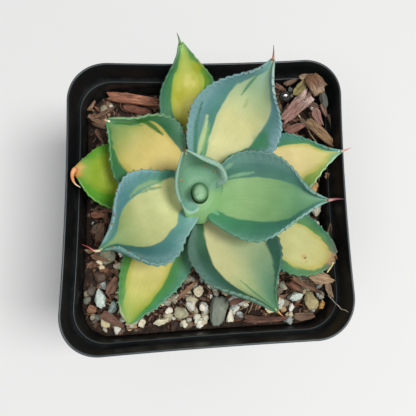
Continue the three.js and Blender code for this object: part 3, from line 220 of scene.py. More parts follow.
def fbm(p, seed=0, octaves=3):
    p = np.asarray(p, float)
    s, a, tot = 0, 1.0, 0
    for o in range(octaves):
        s = s + a * vnoise(p * (2.03**o) + 17.3 * o, seed + o)
        tot += a
        a *= 0.5
    return s / tot


def hermite(xs, ys, q):
    """Smooth curve through ys (n, ...) at xs, sampled at q."""
    xs, ys, q = np.asarray(xs, float), np.asarray(ys, float), np.asarray(q, float)
    d = np.zeros_like(ys)
    h = np.diff(xs)
    sl = np.diff(ys, axis=0) / h.reshape((-1,) + (1,) * (ys.ndim - 1))
    w0, w1 = h[1:], h[:-1]
    sh = (-1,) + (1,) * (ys.ndim - 1)
    d[1:-1] = (sl[:-1] * w0.reshape(sh) + sl[1:] * w1.reshape(sh)) / (w0 + w1).reshape(sh)
    d[0], d[-1] = sl[0], sl[-1]
    k = np.clip(np.searchsorted(xs, q, side="right") - 1, 0, len(xs) - 2)
    t = ((q - xs[k]) / h[k]).reshape(sh)
    hk = h[k].reshape(sh)
    return (
        ys[k] * (2 * t**3 - 3 * t**2 + 1)
        + d[k] * hk * (t**3 - 2 * t**2 + t)
        + ys[k + 1] * (-2 * t**3 + 3 * t**2)
        + d[k + 1] * hk * (t**3 - t**2)
    )


def ramp(stops, q):
    """Colour along stops [(x, rgb 0-255), ...] at q, linear light."""
    xs = [s[0] for s in stops]
    cs = np.array([lin(s[1]) for s in stops])
    return np.stack([np.interp(q, xs, cs[:, k]) for k in range(3)], -1)


def unit(v):
    return v / np.maximum(np.linalg.norm(v, axis=-1, keepdims=True), 1e-12)


class Mesh:
    """Collects vertices, faces and per-vertex attributes of several shells."""

    def __init__(self):
        self.v, self.f, self.a, self.n = [], [], {}, 0

    def add(self, v, f, **attrs):
        v = np.asarray(v, float).reshape(-1, 3)
        self.f.extend([tuple(int(i) + self.n for i in face) for face in f])
        for k, x in attrs.items():
            self.a.setdefault(k, []).append((self.n, np.asarray(x, float)))
        self.v.append(v)
        self.n += len(v)

    def build(self, name, mat, slot=None, replaces=(), sharp=None, smooth_all=True):
        v = np.concatenate(self.v)
        if name.startswith("bark_"):  # bark that leans on the pot stays inside its wall
            lim = np.interp(v[:, 2], [66, 70, 72, 80], [40.3, 40.7, 40.95, 43.3])[:, None]
            v[:, :2] = np.clip(v[:, :2], -lim, lim)
        v = v * MM
        me = bpy.data.meshes.new(name)
        me.from_pydata(v.tolist(), [], self.f)
        me.update()
        for k, parts in self.a.items():
            dim = 1 if parts[0][1].ndim == 1 else parts[0][1].shape[-1]
            buf = np.zeros((self.n, dim))
            for start, x in parts:
                x = x.reshape(-1, dim) if dim > 1 else x.reshape(-1, 1)
                buf[start : start + len(x)] = x
            if dim == 1:
                at = me.attributes.new(k, "FLOAT", "POINT")
                at.data.foreach_set("value", buf[:, 0].astype(np.float32))
            elif k.startswith("p_"):
                at = me.attributes.new(k, "FLOAT_VECTOR", "POINT")
                at.data.foreach_set("vector", buf.astype(np.float32).ravel())
            else:
                at = me.attributes.new(k, "FLOAT_COLOR", "POINT")
                at.data.foreach_set("color", np.c_[buf, np.ones(self.n)].astype(np.float32).ravel())
        me.polygons.foreach_set("use_smooth", [smooth_all] * len(me.polygons))
        if sharp is not None:
            me.set_sharp_from_angle(angle=math.radians(sharp))
        ob = bpy.data.objects.new(name, me)
        bpy.context.collection.objects.link(ob)
        me.materials.append(mat)
        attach(ob, "root")
        if replaces:
            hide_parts(*replaces)
        return ob


def ring_faces(rows, cols, closed=True, offset=0, flip=False):
    """Quads between successive rings of a grid laid out ring by ring."""
    out = []
    for i in range(rows - 1):
        for j in range(cols if closed else cols - 1):
            a = offset + i * cols + j
            b = offset + i * cols + (j + 1) % cols
            c, d = b + cols, a + cols
            out.append((a, d, c, b) if flip else (a, b, c, d))
    return out


# ------------------------------------------------------------------ materials
def material(name, rough=0.5, spec=0.5, coat=0.0, sub=0.0):
    m = bpy.data.materials.new(name)
    m.use_nodes = True
    nt = m.node_tree
    b = next(n for n in nt.nodes if n.type == "BSDF_PRINCIPLED")
    b.inputs["Roughness"].default_value = rough
    b.inputs["Specular IOR Level"].default_value = spec
    if coat:
        b.inputs["Coat Weight"].default_value = coat
        b.inputs["Coat Roughness"].default_value = 0.35
    if sub:
        b.inputs["Subsurface Weight"].default_value = sub
        b.inputs["Subsurface Radius"].default_value = (0.0018, 0.0024, 0.0008)
        b.inputs["Subsurface Scale"].default_value = 1.0
    return m, nt, b


def node(nt, kind, **kw):
    n = nt.nodes.new(kind)
    for k, v in kw.items():
        if k == "ins":
            for i, x in v.items():
                n.inputs[i].default_value = x
        else:
            setattr(n, k, v)
    return n


def attr(nt, name):
    return node(nt, "ShaderNodeAttribute", attribute_name=name)


def math_node(nt, op, a, b, clamp=False):
    n = node(nt, "ShaderNodeMath", operation=op, use_clamp=clamp)
    for i, x in enumerate((a, b)):
        if isinstance(x, (int, float)):
            n.inputs[i].default_value = x
        else:
            nt.links.new(x, n.inputs[i])
    return n.outputs[0]


def mix(nt, fac, a, b, blend="MIX"):
    n = node(nt, "ShaderNodeMix", data_type="RGBA", blend_type=blend)
    for sock, x in ((0, fac), (6, a), (7, b)):
        if isinstance(x, (int, float)):
            n.inputs[sock].default_value = x
        elif isinstance(x, (tuple, list, np.ndarray)):
            n.inputs[sock].default_value = tuple(float(t) for t in x) + (1.0,)
        else:
            nt.links.new(x, n.inputs[sock])
    return n.outputs[2]


def remap(nt, x, a, b, c=0.0, d=1.0, smoothstep=False):
    n = node(nt, "ShaderNodeMapRange", interpolation_type="SMOOTHSTEP" if smoothstep else "LINEAR")
    nt.links.new(x, n.inputs[0])
    for i, y in enumerate((a, b, c, d)):
        n.inputs[i + 1].default_value = y
    return n.outputs[0]


def noise(nt, vec, scale, detail=3.0, rough=0.55):
    n = node(nt, "ShaderNodeTexNoise")
    n.inputs["Scale"].default_value = scale
    n.inputs["Detail"].default_value = detail
    n.inputs["Roughness"].default_value = rough
    nt.links.new(vec, n.inputs["Vector"])
    return n.outputs[0]


def coords(nt):
    return node(nt, "ShaderNodeTexCoord").outputs["Object"]


def bump(nt, bsdf, height, strength, distance, under=None):
    n = node(nt, "ShaderNodeBump")
    n.inputs["Strength"].default_value = strength
    n.inputs["Distance"].default_value = distance
    nt.links.new(height, n.inputs["Height"])
    if under is not None:
        nt.links.new(under, n.inputs["Normal"])
    nt.links.new(n.outputs[0], bsdf.inputs["Normal"])
    return n.outputs[0]


def leaf_material(name):
    """Two tones with a soft border between them, fine lengthwise veins and a waxy bloom."""
    m, nt, b = material(name, 0.5, 0.32, sub=0.06)
    L = nt.links
    obj = coords(nt)
    p = attr(nt, "p_leaf").outputs["Vector"]
    fine = noise(nt, obj, 2600, 2.0)
    wob = noise(nt, p, 0.45, 2.0)
    zone = attr(nt, "zone").outputs["Fac"]
    edge = math_node(nt, "ADD", zone, math_node(nt, "MULTIPLY", math_node(nt, "SUBTRACT", wob, 0.5), 0.6))
    fac = remap(nt, edge, -0.28, 0.42, smoothstep=True)
    col = mix(nt, fac, attr(nt, "cout").outputs["Color"], attr(nt, "cin").outputs["Color"])
    # long veins: noise squeezed along the leaf
    mp = node(nt, "ShaderNodeMapping")
    L.new(p, mp.inputs["Vector"])
    mp.inputs["Scale"].default_value = (0.05, 1.5, 1.0)
    veins = noise(nt, mp.outputs[0], 1.6, 4.0, 0.6)
    col = mix(nt, 1.0, col, mix(nt, veins, (0.93, 0.93, 0.9), (1.06, 1.06, 1.08)), "MULTIPLY")
    blot = noise(nt, obj, 260, 4.0, 0.6)
    col = mix(nt, 1.0, col, mix(nt, blot, (0.85, 0.88, 0.85), (1.13, 1.1, 1.14)), "MULTIPLY")
    # bloom: pale wax with small dark flecks where it has rubbed off
    bl = attr(nt, "bloom").outputs["Fac"]
    fleck = remap(nt, fine, 0.36, 0.5)
    col = mix(
        nt,
        math_node(nt, "MULTIPLY", bl, math_node(nt, "SUBTRACT", 1.0, fleck)),
        col,
        mix(nt, 1.0, col, (0.72, 0.82, 0.78), "MULTIPLY"),
    )
    L.new(col, b.inputs["Base Color"])
    rg = math_node(nt, "ADD", remap(nt, blot, 0.3, 0.7, 0.4, 0.54), math_node(nt, "MULTIPLY", bl, 0.12))
    L.new(rg, b.inputs["Roughness"])
    n1 = bump(nt, b, veins, 0.35, 0.00025)
    bump(nt, b, fine, 0.25, 0.00006, n1)
    return m


def bits_material(name, rough, b_scale, b_dist, contrast, spec=0.3, grain=False):
    m, nt, b = material(name, rough, spec)
    obj = coords(nt)
    col = attr(nt, "tone").outputs["Color"]
    n1 = noise(nt, obj, b_scale, 5.0, 0.62)
    lo, hi = 1 - contrast, 1 + contrast * 0.75
    col = mix(nt, 1.0, col, mix(nt, n1, (lo, lo, lo * 0.98), (hi, hi, hi)), "MULTIPLY")
    h = n1
    if grain:
        p = attr(nt, "p_grain").outputs["Vector"]
        mp = node(nt, "ShaderNodeMapping")
        nt.links.new(p, mp.inputs["Vector"])
        mp.inputs["Scale"].default_value = (0.22, 2.2, 2.2)
        g = noise(nt, mp.outputs[0], 1.7, 5.0, 0.65)
        g2 = remap(nt, g, 0.32, 0.68)
        col = mix(nt, 1.0, col, mix(nt, g2, (0.34, 0.3, 0.28), (1.45, 1.42, 1.4)), "MULTIPLY")
        h = g
    nt.links.new(col, b.inputs["Base Color"])
    nt.links.new(remap(nt, n1, 0.3, 0.7, rough - 0.1, min(rough + 0.1, 1.0)), b.inputs["Roughness"])
    k = bump(nt, b, h, 0.8, b_dist)
    bump(nt, b, noise(nt, obj, b_scale * 4, 3.0), 0.4, b_dist * 0.3, k)
    return m


def pot_material():
    m, nt, b = material("pot_plastic", 0.42, 0.3)
    obj = coords(nt)
    n_big = noise(nt, obj, 70, 5.0, 0.6)
    n_fine = noise(nt, obj, 1800, 3.0)
    wear_and_highlight = attr(nt, "wear_and_highlight").outputs["Fac"]
    dusty = attr(nt, "dusty").outputs["Fac"]
    base = mix(nt, n_big, tuple(lin((7, 10, 11))), tuple(lin((16, 20, 22))))
    # painted highlight: a lighter grey-teal on the rim's top and the step's edge, broken up by noise; on the foot the
    # same mark is wear
    worn_and_lit = math_node(nt, "MULTIPLY", wear_and_highlight, remap(nt, noise(nt, obj, 420, 4.0), 0.25, 0.62, 0.55, 1.0))
    col = mix(nt, worn_and_lit, base, tuple(lin((54, 62, 64))))
    dust = math_node(nt, "MULTIPLY", math_node(nt, "MULTIPLY", dusty, 0.55), remap(nt, noise(nt, obj, 240, 6.0, 0.7), 0.42, 0.72))
    col = mix(nt, dust, col, tuple(lin((82, 78, 72))))
    nt.links.new(col, b.inputs["Base Color"])
    nt.links.new(
        math_node(nt, "ADD", remap(nt, n_big, 0.3, 0.7, 0.34, 0.46), math_node(nt, "MULTIPLY", dust, 0.3)),
        b.inputs["Roughness"],
    )
    k = bump(nt, b, n_fine, 0.3, 0.00005)
    bump(nt, b, noise(nt, obj, 160, 3.0), 0.25, 0.0002, k)
    return m


def soil_material():
    m, nt, b = material("soil_mix", 0.95, 0.2)
    obj = coords(nt)
    a = noise(nt, obj, 420, 6.0, 0.7)
    c = noise(nt, obj, 1500, 4.0, 0.6)
    # dark soil, made darker still so that it also stands for the painted shade in the gaps between the chips
    col = mix(nt, remap(nt, a, 0.3, 0.7), tuple(lin((22, 17, 14))), tuple(lin((56, 42, 34))))
    col = mix(nt, remap(nt, c, 0.6, 0.75), col, tuple(lin((104, 86, 70))))
    nt.links.new(col, b.inputs["Base Color"])
    nt.links.new(remap(nt, c, 0.3, 0.7, 0.85, 1.0), b.inputs["Roughness"])
    k = bump(nt, b, a, 0.9, 0.0008)
    bump(nt, b, c, 0.6, 0.0002, k)
    return m


MAT_LEAF = leaf_material("leaf_variegated")
MAT_GLAU = leaf_material("leaf_glaucous")
MAT_POT = pot_material()
MAT_SOIL = soil_material()
MAT_BARK = bits_material("bark_wood", 0.86, 700, 0.0004, 0.28, grain=True)
MAT_PALE = bits_material("pumice_pale", 0.93, 900, 0.00035, 0.16)
MAT_GRIT = bits_material("stone_grit", 0.7, 500, 0.00022, 0.26)
MAT_GLOSS = bits_material("stone_glossy", 0.2, 500, 0.00006, 0.2, spec=0.8)
MAT_STEM = bits_material("stem_tissue", 0.7, 500, 0.0003, 0.2)

# ------------------------------------------------------------------ pot
SAG = (1.37, 1.39, 1.13, 0.56)


def outline(half, corner, bow, n=288, sharp_out=0.0):
    """Rounded square with slightly bowed sides, anticlockwise, in mm."""
    half = half + sharp_out
    s = half - corner
    pts = []
    per = n // 4
    arc = max(6, per // 2)
    side = per - arc
    for q in range(4):
        a0 = q * math.pi / 2
        cx, cy = [(s, s), (-s, s), (-s, -s), (s, -s)][q]
        for k in range(arc):
            a = a0 + (k / (arc - 1)) * math.pi / 2
            pts.append((cx + corner * math.cos(a), cy + corner * math.sin(a)))
        ex, ey = pts[-1]
        nx, ny = [(-s, s), (-s, -s), (s, -s), (s, s)][q]
        a1 = a0 + math.pi / 2
        fx, fy = nx + corner * math.cos(a1), ny + corner * math.sin(a1)
        for k in range(1, side + 1):
            t = k / (side + 1)
            pts.append((ex + (fx - ex) * t, ey + (fy - ey) * t))
    p = np.array(pts)
    return warp(p, half, bow)


def warp(p, half, bow):
    x, y = p[:, 0], p[:, 1]
    u, v = np.abs(x) / half, np.abs(y) / half
    bx = np.where(x > 0, -SAG[0], SAG[2]) * bow * np.maximum(0, 1 - v * v) * u**3
    by = np.where(y > 0, -SAG[1], SAG[3]) * bow * np.maximum(0, 1 - u * u) * v**3
    px, py = x + bx, y + by
    return np.stack([px * (1 - 0.0085) + 0.0237 * py, py * (1 + 0.0085) + 0.0237 * px], -1)





def make_pot():
    # z, half width, corner radius, bow, wear on the foot and painted highlight on the rim and step edges, dust
    prof = [
        (0.35, 33.0, 8.2, 0.1, 0, 0.2),
        (0.05, 33.25, 8.4, 0.1, 0.1, 0.2),
        (0.35, 33.55, 8.7, 0.1, 0.15, 0.2),
        (2.2, 34.2, 9.0, 0.1, 0.02, 0.3),
        (10.0, 35.14, 9.3, 0.18, 0, 0.12),
        (25.0, 36.96, 9.9, 0.34, 0, 0.06),
        (40.0, 38.76, 10.5, 0.5, 0, 0.05),
        (55.0, 40.57, 11.1, 0.65, 0, 0.05),
        (67.5, 41.95, 11.5, 0.79, 0, 0.05),
        (68.9, 42.12, 11.6, 0.8, 0, 0.2),
        (69.25, 42.5, 11.9, 0.81, 0, 0.3),
        (69.5, 43.2, 12.4, 0.84, 0.05, 0.1),
        (69.8, 43.6, 12.65, 0.86, 0.18, 0),
        (70.3, 43.77, 12.7, 0.88, 0.05, 0),
        (75.0, 44.15, 12.85, 0.95, 0, 0),
        (79.2, 44.45, 13.0, 1, 0.1, 0),
        (79.7, 44.47, 13.0, 1, 0.55, 0),
        (79.93, 44.36, 12.9, 1, 0.95, 0),
        (80.0, 44.2, 12.8, 1, 1.0, 0),
        (80.0, 44.02, 12.65, 1, 0.9, 0),
        (79.93, 43.85, 12.5, 1, 0.5, 0),
        (79.7, 43.74, 12.4, 1, 0.1, 0),
        (77.0, 43.4, 12.35, 0.98, 0, 0.05),
        (74.0, 42.92, 12.25, 0.96, 0, 0.1),
        (73.1, 42.7, 12.2, 0.95, 0, 0.25),
        (72.6, 42.45, 12.0, 0.93, 0, 0.3),
        (72.2, 42.1, 11.8, 0.9, 0, 0.2),
        (71.95, 41.78, 11.5, 0.87, 0, 0.1),
        (72.0, 41.66, 11.42, 0.86, 0.05, 0),
        (72.25, 41.56, 11.35, 0.855, 0.7, 0),
        (72.38, 41.47, 11.3, 0.85, 1.0, 0),
        (72.36, 41.38, 11.23, 0.843, 1.0, 0),
        (72.2, 41.29, 11.15, 0.835, 0.5, 0),
        (71.9, 41.12, 11.0, 0.82, 0.05, 0.15),
        (70.0, 40.9, 10.9, 0.8, 0, 0.45),
        (66.0, 40.44, 10.75, 0.75, 0, 0.7),
        (50.0, 38.6, 10.1, 0.57, 0, 0.2),
        (25.0, 35.75, 9.1, 0.32, 0, 0.2),
        (2.9, 33.23, 8.2, 0.1, 0, 0.3),
        (1.5, 32.3, 7.5, 0.1, 0, 0.3),
    ]
    # more rings where the wall is long, so that it stays smooth
    n = 320
    rows = [np.c_[outline(h, c, bw, n), np.full(n, z)] for z, h, c, bw, _, _ in prof]
    v = np.concatenate(rows)
    f = ring_faces(len(rows), n, True)
    M = Mesh()
    # bottom and floor: closed by rings that shrink to the middle
    under, over = [], []
    for k, s in enumerate((0.9, 0.75, 0.6, 0.45, 0.3, 0.15)):
        under.append(np.c_[outline(33.0, 8.2, 0.1, n) * s, np.full(n, 0.35)])
        over.append(np.c_[outline(32.3, 7.5, 0.1, n) * s, np.full(n, 1.4)])
    allrows = under[::-1] + rows + over
    v = np.concatenate(allrows)
    f = ring_faces(len(allrows), n, True)
    f.append(tuple(range(n))[::-1])
    f.append(tuple((len(allrows) - 1) * n + i for i in range(n)))
    M.add(v, f)
    ob = M.build("pot_shell", MAT_POT, "pot_plastic", ("pot",))
    me = ob.data
    # drain holes
    cut = Mesh()
    for sx in (-1, 1):
        for sy in (-1, 1):
            a = np.linspace(0, 2 * math.pi, 48, endpoint=False)
            ring = lambda z, r: np.c_[sx * 19 + r * np.cos(a), sy * 19 + r * np.sin(a), np.full(48, z)]
            rows2 = [ring(-3, 3.9), ring(0.3, 3.7), ring(0.7, 3.45), ring(1.1, 3.4), ring(5, 3.4)]
            ff = ring_faces(5, 48, True)
            ff.append(tuple(range(48))[::-1])
            ff.append(tuple(4 * 48 + i for i in range(48)))
            cut.add(np.concatenate(rows2), ff)
    cme = bpy.data.meshes.new("cut")
    cme.from_pydata((np.concatenate(cut.v) * MM).tolist(), [], cut.f)
    cob = bpy.data.objects.new("cut", cme)
    bpy.context.collection.objects.link(cob)
    mod = ob.modifiers.new("holes", "BOOLEAN")
    mod.operation, mod.solver, mod.object = "DIFFERENCE", "EXACT", cob
    bpy.context.view_layer.update()
    dg = bpy.context.evaluated_depsgraph_get()
    new = bpy.data.meshes.new_from_object(ob.evaluated_get(dg))
    ob.modifiers.clear()
    ob.data = new
    bpy.data.objects.remove(cob)
    bpy.data.meshes.remove(cme)
    me = ob.data
    co = np.zeros(len(me.vertices) * 3)
    me.vertices.foreach_get("co", co)
    co = co.reshape(-1, 3) * 1000
    # wear and painted highlight, and dust, from the nearest profile ring: height first, then distance from the middle
    P = np.array([(z, h) for z, h, *_ in prof])
    bound = np.max(np.abs(co[:, :2]), 1)
    key = np.array([v3[:, :2].__abs__().max() for v3 in rows])
    wear_and_highlight, dusty = np.zeros(len(co)), np.full(len(co), 0.3)
    src = np.concatenate(rows)
    ids = np.repeat(np.arange(len(prof)), n)
    from mathutils.kdtree import KDTree

    kd = KDTree(len(src))
    for i, s in enumerate(src):
        kd.insert(s, i)
    kd.balance()
    for i, c in enumerate(co):
        _, j, d = kd.find(c)
        if d < 1.5:
            wear_and_highlight[i], dusty[i] = prof[ids[j]][4], prof[ids[j]][5]
    for nm, arr in (("wear_and_highlight", wear_and_highlight), ("dusty", dusty)):
        at = me.attributes.new(nm, "FLOAT", "POINT")
        at.data.foreach_set("value", arr.astype(np.float32))
    me.polygons.foreach_set("use_smooth", [True] * len(me.polygons))
    me.set_sharp_from_angle(angle=math.radians(42))
    if not me.materials:
        me.materials.append(MAT_POT)
    return ob


make_pot()

# ------------------------------------------------------------------ soil
SOIL_TOP = 65.4


def soil_z(x, y):
    c = np.clip((x + y - 26) / 26, 0, 1)
    return (
        SOIL_TOP
        + 3.2 * c**1.3
        + 0.28 * np.sin(0.31 * x + 1.3) * np.cos(0.27 * y - 0.6)
        + 0.14 * np.sin(0.63 * x - 0.51 * y)
    )


def make_soil():
    n, rings = 240, 56
    rim = outline(40.44 - 0.45, 10.6, 0.75, n)
    v, t = [], []
    for k in range(rings):
        s = 1 - (k / rings) ** 1.0
        p = rim * s
        z = soil_z(p[:, 0], p[:, 1])
        q = np.c_[p * 0.45, np.full(n, 3.0)]
        z = z - 0.5 + 1.5 * (fbm(np.c_[p * 0.55, np.zeros(n)], 5, 3) - 0.5) + 0.9 * (fbm(np.c_[p * 1.7, np.zeros(n)], 9, 2) - 0.5)
        z = np.minimum(z, soil_z(p[:, 0], p[:, 1]) + 0.3)
        v.append(np.c_[p, z])
    low = [np.c_[outline(33.0, 8.0, 0.12, n), np.full(n, 4.0)], np.c_[outline(36.6, 9.2, 0.42, n), np.full(n, 35.0)]]
    low = [np.c_[r[:, :2], r[:, 2]] for r in low]
    allv = low + v
    f = ring_faces(len(allv), n, True)
    f.append(tuple(range(n))[::-1])
    f.append(tuple((len(allv) - 1) * n + i for i in range(n)))
    M = Mesh()
    M.add(np.concatenate(allv), f)
    M.build("soil_bed", MAT_SOIL, "soil_mix", ("soil",))


make_soil()


def rot(az, tilt=0.0, roll=0.0):
    ca, sa = math.cos(az), math.sin(az)
    ct, st = math.cos(tilt), math.sin(tilt)
    cr, sr = math.cos(roll), math.sin(roll)
    rz = np.array([[ca, -sa, 0], [sa, ca, 0], [0, 0, 1]])
    ry = np.array([[ct, 0, st], [0, 1, 0], [-st, 0, ct]])
    rx = np.array([[1, 0, 0], [0, cr, -sr], [0, sr, cr]])
    return rz @ ry @ rx


def chip(M, c, size, R, tone, seed, rows=11, cols=14, ragged=0.16, curl=0.0):
    """A splinter of bark: a ridged, torn-ended slab, long axis along its own x."""
    lx, ly, lz = np.asarray(size) / 2
    a = np.linspace(0, 2 * math.pi, cols, endpoint=False)
    e = 0.62
    cy = np.sign(np.cos(a)) * np.abs(np.cos(a)) ** e
    cz = np.sign(np.sin(a)) * np.abs(np.sin(a)) ** e
    s = np.linspace(-1, 1, rows)
    A, S = np.meshgrid(np.arange(cols), s)
    ph = seed * 0.731
    taper = (1 - 0.55 * np.abs(S) ** 3.2) * (0.86 + 0.3 * fbm(np.stack([S * 1.6 + ph, 0 * S, 0 * S], -1), seed, 2))
    ridge = 0.78 + 0.44 * vnoise(np.stack([S * 0.8 + ph, np.cos(a)[A] * 1.9 * (ly / 1.2), np.sin(a)[A] * 1.9], -1), seed + 3)
    y = cy[A] * ly * taper * ridge
    z = cz[A] * lz * (0.8 + 0.2 * taper) * (0.75 + 0.5 * vnoise(np.stack([S * 2.1 + ph, cy[A] * 2.2 * ly, 0 * S], -1), seed + 5))
    x = S * lx * (1 + ragged * (vnoise(np.stack([cy[A] * 3.1 + ph, cz[A] * 2.3, np.sign(S)], -1), seed + 7) * 2 - 1) * np.abs(S) ** 2)
    y = y + ly * 0.35 * (fbm(np.stack([S * 1.1 + ph, 0 * S + 4, 0 * S], -1), seed + 11, 2) * 2 - 1)
    z = z + lz * 0.5 * (fbm(np.stack([S * 1.3 + ph, 0 * S + 9, 0 * S], -1), seed + 13, 2) * 2 - 1) + curl * (S**2 - 0.4)
    loc = np.stack([x, y, z], -1).reshape(-1, 3)
    w = loc @ R.T + np.asarray(c)
    tn = np.clip(0.62 + 0.62 * fbm(np.stack([x * 0.25 + ph, y * 1.5, z * 1.5], -1).reshape(-1, 3), seed + 17, 3), 0.35, 1.5)
    f = ring_faces(rows, cols, True, flip=True)
    f.append(tuple(range(cols)))
    f.append(tuple((rows - 1) * cols + i for i in range(cols))[::-1])
    grain = loc + ph * 10
    M.add(w, f, tone=tone[None] * tn[:, None], p_grain=grain)


def plate(M, c, size, R, tone, seed, curl=0.0, bend=0.0, point=0.0, n=84, rings=13, far=None):
    """A torn flake of bark: a thin slab with a ragged outline and ridges that run along it."""
    lx, ly, lz = np.asarray(size, float) / 2
    a = np.linspace(0, 2 * math.pi, n, endpoint=False)
    ph = seed * 0.37
    ca, sa = np.cos(a), np.sin(a)
    ex, ey = np.sign(ca) * np.abs(ca) ** 0.6, np.sign(sa) * np.abs(sa) ** 0.6
    zero = np.zeros(n)
    rag = 0.96 + 0.34 * (vnoise(np.c_[ca * 1.5 + ph, sa * 1.5, zero], seed) - 0.5) + 0.14 * (vnoise(np.c_[ca * 5 + ph, sa * 5, zero], seed + 1) - 0.5)
    ends = 1 + 0.3 * (vnoise(np.c_[ey * 2.8 + ph, np.sign(ex), zero], seed + 2) - 0.5) * np.abs(ex) ** 3
    ox, oy = lx * ex * rag * ends, ly * ey * rag * (1 - point * smooth(-0.6, 1.0, ex))
    V, S = [], []
    prof = [(s, 1) for s in np.linspace(0.05, 0.97, rings)] + [(1.0, 0.35), (1.0, -0.35)] + [(s, -1) for s in np.linspace(0.96, 0.05, 6)]
    for s, k in prof:
        x, y = ox * s, oy * s
        if abs(k) == 1:
            r1 = fbm(np.c_[x * 0.22 + ph, y * 2.3, zero], seed + 4, 3) - 0.5
            r2 = vnoise(np.c_[x * 0.7 + ph, y * 6.5, zero], seed + 5) - 0.5
            h = lz * (1 - 0.25 * s**5) + min(0.8, lz * 1.3) * r1 + 0.22 * r2
            z = h if k > 0 else -h * 0.9
        else:
            z = np.full(n, lz * k)
        z = z + curl * ((y / ly) ** 2 - 0.3) + bend * ((x / lx) ** 2 - 0.3)
        V.append(np.c_[x, y, z])
    loc = np.concatenate(V)
    w = loc @ R.T + np.asarray(c)
    f = ring_faces(len(prof), n, True)
    f.append(tuple(range(n))[::-1])
    f.append(tuple((len(prof) - 1) * n + i for i in range(n)))
    q = np.array(f[: len(f) - 2])
    vol = np.einsum("ij,ij->i", w[q[:, 0]] - w[0], np.cross(w[q[:, 1]] - w[0], w[q[:, 2]] - w[0])).sum() + np.einsum("ij,ij->i", w[q[:, 0]] - w[0], np.cross(w[q[:, 2]] - w[0], w[q[:, 3]] - w[0])).sum()
    if vol < 0:
        f = [x[::-1] for x in f]
    g = fbm(np.c_[loc[:, 0] * 0.3 + ph, loc[:, 1] * 2.0, loc[:, 2]], seed + 17, 3)
    tn = np.clip(0.35 + 1.25 * g, 0.35, 1.6)[:, None]
    col = np.asarray(tone)[None] * tn
    if far is not None:
        k = smooth(-0.2, 0.8, loc[:, 0] / lx)[:, None]
        col = col * (1 - k) + np.asarray(far)[None] * tn * k
    M.add(w, f, tone=np.clip(col, 0, 0.9), p_grain=loc + ph * 10)


_ico = {}


def ico(level):
    if level not in _ico:
        import bmesh

        bm = bmesh.new()
        bmesh.ops.create_icosphere(bm, subdivisions=level, radius=1.0)
        v = np.array([x.co[:] for x in bm.verts])
        f = [tuple(x.index for x in y.verts) for y in bm.faces]
        bm.free()
        _ico[level] = (v, f)
    return _ico[level]


def stone(M, c, size, R, tone, seed, level=3, rough=0.22, facet=0.5, tonevar=0.25, taper=0.0):
    """A worn stone or a lump of pumice: a ball cut by a few flats, then roughened."""
    v, f = ico(level)
    r = np.random.default_rng(seed)
    q = v.copy()
    k = int(6 + facet * 8)
    for _ in range(k):
        nrm = unit(r.normal(size=3))
        d = r.uniform(0.56, 0.86)
        h = q @ nrm
        over = np.maximum(0, h - d)
        q = q - min(1.0, facet * 1.25) * over[:, None] * nrm
    q = q * (1 + rough * (fbm(q * 1.3 + seed * 1.7, seed, 3) - 0.5) * 2)[:, None]
    q = q * (1 + rough * 0.35 * (vnoise(q * 5.1 + seed, seed + 4) - 0.5) * 2)[:, None]
    ext = (q.max(0) - q.min(0)) / 2
    q = (q - (q.max(0) + q.min(0)) / 2) / ext
    if taper:
        q[:, 0] *= (1 - taper * smooth(0.6, -1.0, q[:, 1])) * (1 + 0.5 * smooth(0.1, 0.95, q[:, 1]))
        q[:, 0] = np.tanh(q[:, 0] * 1.25) / math.tanh(1.25)
    loc = q * np.asarray(size) / 2
    w = loc @ R.T + np.asarray(c)
    n1 = fbm(q * 1.6 + seed * 3.3, seed + 8, 3)
    n2 = fbm(q * 4.2 + seed * 1.1, seed + 12, 2)
    tn = 1 + tonevar * ((n1 - 0.5) * 2.4 + (n2 - 0.5) * 1.2)
    stain = smooth(0.56, 0.7, n1)[:, None] * min(1, tonevar * 1.6)
    c = tone[None] * tn[:, None]
    c = c * (1 - stain) + c * np.array([0.72, 0.6, 0.5])[None] * stain
    M.add(w, f, tone=np.clip(c, 0, 0.95))


def tube(M, pts, radii, tone, cols=8, steps=24, seed=0, wob=0.0, grain=False, cap=True, extra=None):
    """A tapering strand through pts (mm)."""
    pts = np.asarray(pts, float)
    d = np.r_[0, np.cumsum(np.linalg.norm(np.diff(pts, axis=0), axis=1))]
    q = np.linspace(0, d[-1], steps)
    c = hermite(d, pts, q)
    if wob:
        c = c + wob * (np.stack([fbm(np.c_[q * 0.5, q * 0 + s, q * 0], seed + s, 2) for s in range(3)], -1) - 0.5) * np.sin(np.linspace(0, math.pi, steps))[:, None]
    r = np.interp(q / d[-1], np.linspace(0, 1, len(radii)), radii)
    t = unit(np.gradient(c, axis=0))
    ref = np.array([0.0, 0, 1]) if abs(t[0, 2]) < 0.8 else np.array([1.0, 0, 0])
    n1 = unit(np.cross(t, ref))
    n2 = np.cross(t, n1)
    a = np.linspace(0, 2 * math.pi, cols, endpoint=False)
    v = c[:, None] + r[:, None, None] * (np.cos(a)[None, :, None] * n1[:, None] + np.sin(a)[None, :, None] * n2[:, None])
    f = ring_faces(steps, cols, True)
    if cap:
        f.append(tuple(range(cols))[::-1])
        f.append(tuple((steps - 1) * cols + i for i in range(cols)))
    tone = np.asarray(tone, float)
    if tone.ndim == 1:
        tone = np.repeat(tone[None], steps, 0)
    tv = np.repeat(tone, cols, 0) * (0.85 + 0.3 * fbm(v.reshape(-1, 3) * 1.3, seed + 2, 2))[:, None]
    kw = {"tone": tv}
    if grain:
        kw["p_grain"] = np.stack([np.repeat(q, cols), np.tile(a, steps) * 0.4 + seed, np.zeros(steps * cols)], -1)
    if extra:
        kw = extra(np.repeat(q / d[-1], cols), tv)
    M.add(v.reshape(-1, 3), f, **kw)


INNER_RIM = outline(40.2, 10.8, 0.77, 400)


